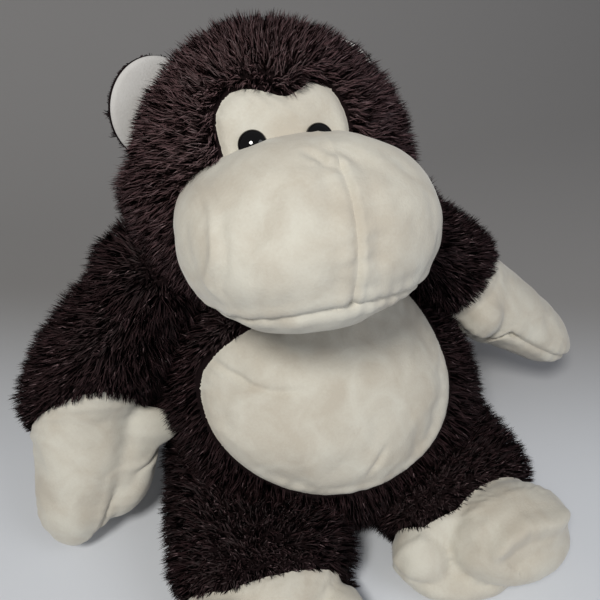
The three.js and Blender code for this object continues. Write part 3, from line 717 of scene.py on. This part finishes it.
def onHead(points, turn=head["turn"]):
    # From the head's own left, forward and up to the part's frame
    angle = radians(turn)
    left, forward, up = np.asarray(points, dtype=float).T
    return headCenter + np.stack([left * cos(angle) + forward * sin(angle),
                                  left * sin(angle) - forward * cos(angle), up], axis=1)


def offHead(points, turn=head["turn"]):
    angle = radians(turn)
    x, y, z = (points - headCenter).T
    return x * cos(angle) + y * sin(angle), x * sin(angle) - y * cos(angle), z


def faceField(points):
    # Distance outside the face panel's cut edge, negative on the panel
    left, forward, up = offHead(points, face["turn"])
    edge = np.array([*face["edge"], face["edge"][0]], dtype=float)
    away = nearLine(np.stack([left, up], axis=1), edge)[0]
    inside = np.zeros(len(points), dtype=bool)
    for (x0, z0), (x1, z1) in zip(edge[:-1], edge[1:]):
        if z0 != z1:
            inside ^= ((z0 > up) != (z1 > up)) & (left < x0 + (up - z0) * (x1 - x0) / (z1 - z0))
    return np.maximum(np.where(inside, -away, away), -forward)


def muzzleReach(points, margin=0.0, turn=0.0):
    left, forward, up = offHead(points, head["turn"] + turn)
    place = np.stack([left, forward - muzzle["forward"], up - muzzle["rise"]], axis=1)
    size = (np.abs(place / (np.array(muzzle["halfSizes"]) + margin)) ** muzzle["fullness"]).sum(axis=1)
    return size ** (1 / muzzle["fullness"])


def fromTurnedMuzzle(points):
    # Gap to the muzzle over the whole turn of the head, in whose way the pile is pressed short
    meanSize, clear = 45, 3   # mm
    return meanSize * (np.min([muzzleReach(points, 0, turn) for turn in head["swing"]], axis=0) - 1) - clear


ear = {
    "radius": 26.5, "cupDepth": 8, "rim": 1.6, "seat": 55, "setback": 42, "lift": 28, "flare": 22, "crown": 5,
    "dent": 7.0, "dentReach": 46, "clear": 12, "sides": 72,
    "pile": {"length": 7.5, "lean": 0.8, "seamShare": 0.25},
}


def placeEar(points, side):
    flare = radians(ear["flare"])
    turn = np.array(Matrix.Rotation(-flare / 2, 3, "X") @ Matrix.Rotation(-side * flare, 3, "Z"))
    lift = radians(ear["lift"])
    seat = onHead([[side * ear["seat"] * cos(lift), -ear["setback"], ear["seat"] * sin(lift)]])[0]
    return points @ turn.T + seat


def earAxis(side):
    # The ear's middle and the way that it faces
    middle, front = placeEar(np.array([[0, 0, 0], [0, -1.0, 0]]), side)
    return middle, front - middle


def fromEarRim(points, side):
    # Depth in front of the ear's rim, and distance from the ear's own axis
    middle, front = earAxis(side)
    depth = (points - middle) @ front
    return depth, np.linalg.norm(points - middle - depth[:, None] * front, axis=1)


def beforeEar(points):
    # The cloth is drawn in where the right ear is sewn on, so that its lining shows; the left one is hidden
    depth, ring = fromEarRim(points, sides["right"])
    reach = -ear["dentReach"]
    return ramp(depth, -6, 0) * ramp(-depth, reach, -14) * ramp(-ring, reach, -27)


headBall = fuse("headBall", [ballMesh(headCenter, (head["radius"],) * 3)], 2.6, 2)
swell(headBall, -ear["dent"] * beforeEar(pointsOf(headBall)))
change(headBall, "SUBSURF", levels=1)
cutOut(headBall, [faceField], (1,))
sew(headBall, faceField, lambda p: p[:, 0] + p[:, 2], 0.8)
headSkin = sewPanels(headBall, "head", firmness["head"], ("facePanel", "cream_velboa", "face_panel"),
                     ("headSkin", "dark_plush", "head_cover", "head_filling"))[1]


def mouthField(points):
    # Height over the mouth seam, which drops in a curve towards its ends
    left, _, up = offHead(points)
    share = np.minimum((left / muzzle["halfSizes"][0]) ** 2, 1)
    return up - muzzle["rise"] + muzzle["mouthDrop"] * (1 - share) + muzzle["mouthEndDrop"] * share


def noseField(points):
    # Distance from the seam down the middle, which bows to the left towards its top
    left, _, up = offHead(points)
    return left - muzzle["noseShift"] - muzzle["noseBow"] * np.maximum(up, 0)


def centreSeam(points):
    # It ends where the muzzle turns up to the face
    onUpper = np.where(mouthField(points) > -1, 0, farAway)
    return np.abs(noseField(points)) + onUpper + 6 * ramp(-offHead(points)[1], -86, -76)


def shapeMuzzle(form):
    # Its root lies lower and its right cheek is slacker than the pattern, as the stuffing left them
    left, forward, up = offHead(pointsOf(form))
    up = up - muzzle["rootDrop"] * ramp(-forward, -70, -50) * ramp(up, 15, 40)
    up = up - muzzle["cheekDrop"] * ramp(-left, 8, 40) * ramp(up, 15, 40)
    left = left + muzzle["cheekOut"] * ramp(-left, 20, 60)
    up = up + muzzle["cheekRise"] * ramp(-left, 25, 50) * ramp(-up, 5, 30)
    # The chin tucks under
    forward = forward - muzzle["chinTuck"] * ramp(-up, 10, 36) * ramp(forward, 60, 90)
    movePoints(form, onHead(np.stack([left, forward, up], axis=1)))


def markMuzzle(form):
    left, forward, up = offHead(pointsOf(form))
    away, share = nearLine(np.stack([left, up], axis=1), muzzle["dart"])
    fade = (forward > 60) * arch(share, 0.02, 0.6)
    heights = fade * (muzzle["dartRidge"] * bell(away, 1.3) - 1.0 * bell(away - 3.4, 1.6) * (left > -46))
    away, share = nearLine(np.stack([left, forward], axis=1), muzzle["tuck"])
    fade = (up > 25) * arch(share, 0.05, 0.5)
    heights += fade * (0.8 * bell(away - 3.5, 2.4) * (forward < 84) - muzzle["tuckDepth"] * bell(away, 2.4))
    # The seam allowance lies to the left of the middle seam and shows as a soft ridge
    ridge = muzzle["allowance"] * bell(noseField(pointsOf(form)) - 2.6, 1.2)
    swell(form, heights + ridge * ramp(up, -8, 8) * ramp(forward, 78, 90))


muzzleBall, muzzleFaces = ballMesh((0, 0, 0), muzzle["halfSizes"], muzzle["fullness"])
muzzleBall = onHead(muzzleBall + [0, muzzle["forward"], muzzle["rise"]])
muzzleForm = fuse("muzzleForm", [(muzzleBall, [f[::-1] for f in muzzleFaces])], 2.4, 2)
stuff(muzzleForm, [mouthField, centreSeam, lambda p: np.where(p[:, 1] > headCenter[1] - 45, 0, farAway)])
shapeMuzzle(muzzleForm)
change(muzzleForm, "SUBSURF", levels=1)
cutOut(muzzleForm, [mouthField, noseField], (1, -1), (1, 1))
sew(muzzleForm, mouthField, lambda p: p[:, 0], 1.0)
sew(muzzleForm, centreSeam, lambda p: p[:, 2], 0.9)
markMuzzle(muzzleForm)
sewPanels(muzzleForm, "head", firmness["head"], ("muzzleChin", "cream_velboa", "muzzle_chin", "muzzle_filling"),
          ("muzzleRight", "cream_velboa", "muzzle_upper_right"),
          ("muzzleLeft", "cream_velboa", "muzzle_upper_left"))


def fromCrown(points):
    # The pile of the head lies away from the crown and down its sides, and forward by the ears
    away = points - (headCenter + head["crown"])
    way, lie = unit(away * [1, 1, 0.5] + [0, 0, -6]), ramp(-faceField(points), -8, 0)
    for side in sides.values():
        depth, ring = fromEarRim(points, side)
        near = ramp(depth, -4, 0) * ramp(-depth, -34, -14)
        near = near * ramp(-ring, -ear["radius"] - 14, -ear["radius"] - 2)
        way = way + near[:, None] * np.array([-1.2 * side, -2.5, -0.5])
        lie = np.maximum(lie, near)
    # It lies flat over the face seam and in front of the ears
    return unit(way) * (1 + 2.6 * lie)[:, None]


def headPileKeep(points):
    clear = np.ones(len(points), dtype=bool)
    for side in sides.values():
        depth, ring = fromEarRim(points, side)
        clear &= (np.abs(depth - 1) > 4) | (ring > ear["radius"])
    return clear & (faceField(points) > 0.3) & (muzzleReach(points, -4) > 1) & ~insideBody(points, 8)


def toHeadSeam(points):
    # The pile is short along the face seam and in front of the right ear
    depth, ring = fromEarRim(points, sides["right"])
    near = (depth > -4) & (ring < ear["radius"] + ear["clear"])
    byEar = np.where(near, (depth - ear["clear"]) * 0.18, farAway)
    return np.minimum(4 + 0.5 * faceField(points), byEar)


growPile("headPile", headSkin, "head", fromCrown, 12, toHeadSeam, headPileKeep, **head["pile"])

# A loose tuft lies across the brow
brow = {
    "left": 13.5, "up": 59, "radius": 1.6, "way": (15, -1, -10),
    "pile": {"density": 5, "lean": 1.2, "stray": 0.12, "tuftPull": 0.75, "length": 15, "quickShare": 1},
}


def browTuftKeep(points):
    left, forward, up = offHead(points, face["turn"])
    near = np.hypot(left - brow["left"], up - brow["up"]) < brow["radius"]
    return (forward > 0) & near & (faceField(points) > 0)


def overBrow(points):
    return np.tile(onHead([brow["way"]], face["turn"])[0] - headCenter, (len(points), 1)) * 0.3


growPile("browTuft", headSkin, "head", overBrow, 14, lambda p: np.full(len(p), farAway), browTuftKeep,
         **brow["pile"])

# Eye: a domed button on a shank, its rim down on the panel
eye = {
    "radius": 6.25, "height": 4.5, "flange": 0.8, "offset": 14.2, "rise": 40.5, "gap": 0.3,
    "sides": 64, "steps": 12,
}
for name, side in sides.items():
    forward = sqrt(head["radius"] ** 2 - eye["offset"] ** 2 - eye["rise"] ** 2)
    seat = onHead([[side * eye["offset"], forward, eye["rise"]]], face["turn"])[0]
    out = Vector(unit(seat - headCenter))
    profile = [(0, -3), (eye["radius"] / 3, -3), (eye["radius"] * 0.9, 0), (eye["radius"], eye["gap"] + 0.2)]
    for step in range(eye["steps"] + 1):
        angle = pi / 2 * step / eye["steps"]
        along = eye["gap"] + eye["flange"] + (eye["height"] - eye["flange"]) * sin(angle)
        profile.append((eye["radius"] * cos(angle) if step < eye["steps"] else 0, along))
    turn = np.array(Vector((0, 0, 1)).rotation_difference(out).to_matrix())
    button = turned(profile, eye["sides"], (0, 1, 2), lambda ring: ring @ turn.T + seat)
    button = newPiece(f"eyeButton{name.capitalize()}", *button, eyeFinish)
    finishPiece(button, "head", "eye_plastic", f"eye_{name}")
    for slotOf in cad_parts[f"eye_washer_{name}"].material_slots:
        slotOf.material = washerFinish
print("head made")


# Ears: a shallow plush cup with a soft lining
def makeEar(name, side):
    label = name.capitalize()

    def earPiece(label, profile, material):
        # The cup opens along the ear's own -Y
        form = turned(profile, ear["sides"], (0, 2, 1), lambda ring: placeEar(ring, side))
        return newPiece(label, *form, material)

    outer, rim, deep, crown = (ear[key] for key in ("radius", "rim", "cupDepth", "crown"))
    shares = np.linspace(0, 1, 12)
    cup = [(outer * s, deep * (1 - s ** 2)) for s in shares]
    cup += [(outer, -1.0), (outer - 0.4 * rim, -1.8), (outer - 0.8 * rim, -1.5), (outer - rim, -0.4)]
    cup += [((outer - rim) * s, deep * 0.5 * (1 - s ** 2)) for s in shares[-2::-1]]
    back = finishPiece(earPiece(f"earBack{label}", cup, backing), "head", "dark_plush", f"ear_back_{name}")
    inner = outer - rim
    # The lining is rolled over the rim
    front = [((outer - 0.1) * s, -crown * (1 - s ** 2) ** 0.8 - 2.3) for s in shares]
    front += [(outer - 0.1, -2.0), (inner - 0.1, -1.95), (inner - 0.2, -0.4)]
    front += [(inner * s, deep * 0.42 * (1 - s ** 2) + 0.4) for s in shares[-2::-1]]
    finishPiece(earPiece(f"earLining{label}", front, earCloth), "head", "ear_velboa", f"ear_lining_{name}")

    def earPileKeep(points):
        # On the back and the rim, not on the side that the lining covers
        depth, ring = fromEarRim(points, side)
        behind = depth < 0.3 - 0.75 * deep * (1 - (ring / inner) ** 2)
        return (depth < 0.4) & (ring > 9) & ((ring > inner) | behind)

    def behindEar(points):
        return np.tile(-earAxis(side)[1], (len(points), 1))

    def looseTufts(points):
        # The pile is sheared short at the rim, but for a few loose tufts
        tufts = np.sin(points[:, 2] / 1.7) * np.sin(points[:, 0] / 1.3) > 0.45
        return np.where((fromEarRim(points, side)[1] < 18) | tufts, farAway, 0.0)

    growPile(f"earPile{label}", back, "head", behindEar, 20 + side, looseTufts, earPileKeep, **ear["pile"])


for name, side in sides.items():
    makeEar(name, side)
print("ears made")


# Arms: a sleeve of pile and a mitten of two cloth panels
arm = {
    "shoulder": (70, 2, 149), "ballRadius": 27.5, "upperLength": 80, "handLength": 87,
    "shares": [0, 0.25, 0.45, 0.6, 0.8, 1], "domes": (8, 24), "halfWidth": 30, "halfDepth": 28,
    "widthShares": [0.74, 1, 1, 0.98, 0.9, 0.68], "depthShares": [0.79, 1, 1, 0.9, 0.72, 0.5],
    "seamStart": 30, "foldMost": 1.6, "gapDepth": 2.4, "pileFrom": 50, "shortEnd": 14,
}
armPoses = {   # for the right arm and for the left
    "spread": (36, 46), "forward": (2, 6), "handSpread": (14, 54), "handForward": (29, 18),
    "cuffTilt": (24, -14), "cuffBend": (4, 3), "cuffSlant": (0.15, 0.25), "cuffDrop": (7, -13),
    "thumb": ((23, 14, 15), (16, 14, 14)), "thumbTurn": (10, 72), "thumbFromCuff": (18, 1),
    "thumbReach": (31, 23), "thumbEnd": (38, 19), "thumbLift": (0, -12),
    "web": ((19, 15, 35), (19, 15, 25)), "webReach": (22, 8), "webFromThumb": (20, 14), "webDrop": (0, 8),
    "taper": (0.96, 0.95), "tipShift": (6, 0), "tipSlant": (7, 0), "seamLift": (16, 0),
    "folds": (0, 3.0), "fullness": (0.5, 0.6), "gap": (None, 28),
}


def poseOf(poses, side):
    return {key: pair[side > 0] for key, pair in poses.items()}


def hanging(side, spread, forward):
    spread, forward = radians(spread), radians(forward)
    return np.array([side * sin(spread) * cos(forward), -sin(forward),
                     -cos(spread) * cos(forward)])


def makeArm(name, side):
    pose, label = poseOf(armPoses, side), name.capitalize()
    shoulder = np.array(arm["shoulder"], dtype=float) * [side, 1, 1]
    wrist = shoulder + hanging(side, pose["spread"], pose["forward"]) * arm["upperLength"]
    tip = wrist + hanging(side, pose["handSpread"], pose["handForward"]) * arm["handLength"]
    thumbTurn = radians(pose["thumbTurn"])
    across = np.array([-side * cos(thumbTurn), -sin(thumbTurn), 0])
    handLine = unit(tip - wrist)
    backLine = unit(np.cross(across, handLine))
    backLine = backLine * np.sign(backLine[2])
    cuffLine = unit(handLine + backLine * tan(radians(pose["cuffTilt"])))
    spine = [shoulder, (shoulder + wrist) / 2, wrist, (wrist + tip) / 2, tip]
    widths = [*arm["widthShares"][:4], *(share * pose["taper"] for share in arm["widthShares"][4:])]
    limb = limbMesh(spine, across, arm["shares"], [arm["halfWidth"] * s for s in widths],
                    [arm["halfDepth"] * s for s in arm["depthShares"]], arm["domes"])
    line, tangents, _ = spineThrough(spine)
    total = arm["upperLength"] + arm["handLength"]
    at = int(spineSteps * (arm["upperLength"] + pose["thumbFromCuff"]) / total)
    wide = unit(across - np.dot(across, tangents[at]) * tangents[at])
    basis = np.stack([wide, np.cross(tangents[at], wide), tangents[at]])
    thumb = ballMesh(line[at] + wide * pose["thumbReach"], pose["thumb"], 2.2, basis, 4)
    web = ballMesh(line[at] + wide * pose["webReach"] + tangents[at] * pose["webFromThumb"]
                   - backLine * pose["webDrop"], pose["web"], 2, basis, 4)
    ball = ballMesh(shoulder, (arm["ballRadius"],) * 3, 2, None, 4)
    form = fuse("armForm" + label, [limb, thumb, web, ball], 2.2, 2)
    # The tip lies a little outward of the pattern's line, its inner edge most
    onward, inward = (pointsOf(form) - wrist) @ handLine, (pointsOf(form) - wrist) @ wide
    outward = pose["tipShift"] * ramp(onward, 15, 85)
    outward = outward + pose["tipSlant"] * ramp(onward, 55, 92) * ramp(inward, -14, 16)
    movePoints(form, pointsOf(form) - np.outer(outward, wide))

    def cuffField(p):
        # Positive on the hand; the cuff dips at both edges of the wrist
        off = (p - wrist) @ wide
        bend = pose["cuffBend"] * (off / 28) ** 2
        return (p - wrist) @ cuffLine - pose["cuffDrop"] - bend + pose["cuffSlant"] * off

    def palmField(p):
        # Past the thumb the seam rides up over the inner edge, and on the thumb it may drop
        inward, onward = (p - wrist) @ wide, (p - wrist) @ handLine
        start, thumbEnd = arm["seamStart"], pose["thumbEnd"]
        lift = pose["seamLift"] * ramp(inward, -6, 16) * (0.8 * ramp(onward, start, start + 14)
                                                          + 0.2 * ramp(onward, start + 10, start + 50))
        drop = pose["thumbLift"] * ramp(inward, 12, 26) * ramp(-onward, -thumbEnd - 8, -thumbEnd)
        return (p - wrist) @ backLine - lift - drop

    def handSeam(p):
        return np.where(cuffField(p) > 0, np.abs(palmField(p)), farAway)

    def handRun(p):
        return (p - wrist) @ handLine

    deepenFolds(form, pose["folds"], arm["foldMost"])
    stuff(form, [handSeam, cuffField], pose["fullness"])
    change(form, "SUBSURF", levels=1)
    cutOut(form, [cuffField, palmField], (1, 1), (1, -1))
    sew(form, cuffField, handRun, 0.8)
    sew(form, handSeam, handRun, 1.0)
    if pose["gap"]:
        # The stitches part beside the thumb
        points = pointsOf(form)
        parted = bell(handSeam(points), 1.1) * bell(handRun(points) - pose["gap"], 6)
        swell(form, -arm["gapDepth"] * parted * ramp((points - wrist) @ wide, 4, 12))
    sleeve = sewPanels(form, f"arm_{name}", firmness["limb"],
                       (f"sleeveSkin{label}", "dark_plush", f"sleeve_{name}", f"arm_filling_{name}"),
                       (f"handBack{label}", "cream_velboa", f"hand_back_{name}"),
                       (f"handPalm{label}", "cream_velboa", f"hand_palm_{name}"))[0]

    def toHand(p):
        near = np.argmin(((p[:, None, :] - line[None, ::10, :]) ** 2).sum(axis=2), axis=1)
        return tangents[::10][near]

    growPile(f"sleevePile{label}", sleeve, f"arm_{name}", toHand, 30 + side,
             lambda p: np.minimum(-cuffField(p), fromTurnedMuzzle(p)),
             lambda p: side * p[:, 0] > arm["pileFrom"], shortEnd=arm["shortEnd"])


for name, side in sides.items():
    makeArm(name, side)
print("arms made")


# Legs: a wide cover of pile and a foot of two lobes on a flat base, cut from a top and a sole panel
leg = {
    "hip": (56, -30, 27.8), "shift": 15, "ballRadius": 40, "length": 112, "ankle": 92,
    "shares": [0, 0.3, 0.58, 0.8, 1], "domes": (8, 40), "halfWidth": 45.5, "halfHeight": 27,
    "widthShares": [0.88, 0.96, 1, 0.97, 0.8], "heightShares": [1, 1, 0.98, 0.86, 0.66],
    "base": (41, 29, 13), "baseAlong": 98, "baseIn": 4, "seamHeight": 20,
    "folds": 6.0, "foldMost": 3.0, "inBody": 14, "shortEnd": 14, "pinchHeight": 3.2, "lobeRound": 35,
}
footPoses = {   # for the right foot and for the left
    "turnOut": (6, -3), "lobe": ((33, 29, 22), (36.5, 28, 26)), "lobeAlong": (106, 104), "lobeOut": (22, 16),
    "lobeUp": (22, 30), "toe": ((17, 18, 18), (18, 17, 17)), "toeAlong": (106, 97), "toeIn": (30, 31),
    "toeUp": (-2, 4),
    "pinch": (None, [(-24, 9), (-20, 14), (-12, 19.5), (-1.6, 22.6), (8.5, 21.5), (23.8, 16.8), (35, 14)]),
}


def nearLobe(points, halfSizes):
    return (np.linalg.norm(points / np.array(halfSizes), axis=1) - 1) * min(halfSizes)


def makeLeg(name, side):
    foot, label = poseOf(footPoses, side), name.capitalize()
    hip = np.array([side * leg["hip"][0] + leg["shift"], leg["hip"][1], leg["hip"][2]], dtype=float)
    turnOut = radians(foot["turnOut"])
    along = np.array([side * sin(turnOut), -cos(turnOut), 0])
    out = np.array([side * cos(turnOut), sin(turnOut), 0])
    ankle = hip + along * leg["ankle"]
    basis = np.stack([out, along, [0, 0, 1.0]])
    spine = [hip, hip + along * leg["length"] / 2, hip + along * leg["length"]]
    limb = limbMesh(spine, out, leg["shares"], [leg["halfWidth"] * s for s in leg["widthShares"]],
                    [leg["halfHeight"] * s for s in leg["heightShares"]], leg["domes"])
    ball = ballMesh(hip, (leg["ballRadius"], leg["ballRadius"], leg["halfHeight"]), 2, None, 4)
    level = hip * [1, 1, 0]
    lobe = level + along * foot["lobeAlong"] + out * foot["lobeOut"] + [0, 0, foot["lobeUp"]]
    toe = level + along * foot["toeAlong"] - out * foot["toeIn"] + [0, 0, foot["toe"][2] + foot["toeUp"]]
    base = level + along * leg["baseAlong"] - out * leg["baseIn"] + [0, 0, leg["base"][2]]
    lobes = [ballMesh(lobe, foot["lobe"], 2, basis, 4), ballMesh(toe, foot["toe"], 2, basis, 4),
             ballMesh(base, leg["base"], 2.2, basis, 4)]
    form = fuse("legForm" + label, [limb, ball, *lobes], 2.2, 2)
    flatUnder(form)

    def footField(p):
        # Negative on the foot: past the ankle, or on a lobe that reaches back over it
        lobeGap = nearLobe((p - lobe) @ basis.T, foot["lobe"])
        toeGap = nearLobe((p - toe) @ basis.T, foot["toe"])
        return np.minimum(np.minimum(-(p - ankle) @ along, lobeGap - 1.5), toeGap - 1.5)

    def soleField(p):
        return p[:, 2] - leg["seamHeight"]

    def footSeam(p):
        return np.where(footField(p) < 0, np.abs(soleField(p)), farAway)

    def footRun(p):
        return leg["lobeRound"] * np.arctan2(p[:, 1] - lobe[1], p[:, 0] - lobe[0])

    deepenFolds(form, leg["folds"], leg["foldMost"])
    stuff(form, [footSeam, footField, under(3)])
    change(form, "SUBSURF", levels=1)
    flatUnder(form)
    cutOut(form, [footField, soleField], (-1, 1), (-1, -1))
    sew(form, footField, footRun, 0.7)
    sew(form, footSeam, footRun, 0.4)
    if foot["pinch"]:
        # The upper is pinched into a ridge that hangs over the band below it
        outward, onward, up = ((pointsOf(form) - lobe) @ basis.T).T
        away, share = nearLine(np.stack([outward, up], axis=1), foot["pinch"])
        fade = ramp(onward, 2, 10) * ramp(share, 0, 0.15)
        below = ramp(np.interp(outward, *np.transpose(foot["pinch"])) - up, 0, 3)
        sunk = (0.7 * bell(away - 4.5, 2.0) + 3.6 * bell(away - 9, 7.0)) * below
        sunk = sunk + 1.2 * bell(away - 7, 4) * (1 - below)
        swell(form, fade * (leg["pinchHeight"] * bell(away, 2.5) - sunk))
    cover = sewPanels(form, f"leg_{name}", firmness["limb"],
                      (f"legSkin{label}", "dark_plush", f"leg_cover_{name}", f"leg_filling_{name}"),
                      (f"footTop{label}", "cream_velboa", f"foot_top_{name}"),
                      (f"footSole{label}", "cream_velboa", f"foot_sole_{name}"))[0]
    growPile(f"legPile{label}", cover, f"leg_{name}", lambda p: np.tile(along, (len(p), 1)), 40 + side,
             footField, lambda p: (p[:, 2] > 3) & ~insideBody(p, leg["inBody"]), shortEnd=leg["shortEnd"])


for name, side in sides.items():
    makeLeg(name, side)
print("legs made")


# Floor, backdrop, lamps and room
stage = {"floor": "#d9dce1", "backdrop": "#979594", "nearEdge": -60, "farEdge": 190, "slant": 0.45}
lamps = {
    "key": {"place": (-430, -600, 980), "aim": (0, -40, 90), "size": 260, "power": 7.9, "colour": "#fffdf8"},
    "fill": {"place": (500, -780, 820), "aim": (0, -30, 110), "size": 700, "power": 2.3, "colour": "#f4f7ff"},
}
room = {"colour": "#e9ecf2", "strength": 0.24}


def stageSurface(tree):
    # Cotton sheeting, pale where the toy sits and greyer where it hangs behind
    place = addNode(tree, "TexCoord").outputs["Object"]
    parts = addNode(tree, "SeparateXYZ", links={0: place})
    depth = timesPlus(tree, stage["slant"], parts.outputs["X"], parts.outputs["Y"])
    edges = {"From Min": stage["nearEdge"] * mm, "From Max": stage["farEdge"] * mm}
    far = addNode(tree, "MapRange", edges, {"Value": depth}, interpolation_type="SMOOTHSTEP")
    colour = addNode(tree, "Mix", {6: linear(stage["floor"]), 7: linear(stage["backdrop"])},
                     {0: far.outputs[0]}, data_type="RGBA")
    return {"Base Color": colour.outputs[2]}


outline = [(-1500, 0), (250, 0), (400, 12), (520, 50), (620, 120), (680, 220), (700, 400), (700, 1500)]
points = [(x, y, z) for y, z in outline for x in (-2500, 2500)]
faces = [[2 * i, 2 * i + 1, 2 * i + 3, 2 * i + 2] for i in range(len(outline) - 1)]
sheeting = newMaterial("cotton sheeting plain woven", {"Roughness": 0.9}, stageSurface)
floor = newPiece("floor", points, faces, sheeting)
floor.modifiers.new("sweep", "SUBSURF").render_levels = 3

for name, values in lamps.items():
    data = bpy.data.lights.new(name, "AREA")
    data.shape = "DISK"
    data.size = values["size"] * mm
    data.energy = values["power"]
    data.color = linear(values["colour"])[:3]
    lamp = linked(name, data)
    lamp.location = Vector(values["place"]) * mm
    lamp.rotation_euler = (Vector(values["aim"]) - Vector(values["place"])).to_track_quat("-Z", "Y").to_euler()

world = bpy.data.worlds.new("room")
bpy.context.scene.world = world
world.use_nodes = True
world.node_tree.nodes["Background"].inputs["Color"].default_value = linear(room["colour"])
world.node_tree.nodes["Background"].inputs["Strength"].default_value = room["strength"]
bpy.context.scene.view_settings.view_transform = "Standard"
print("stage made")
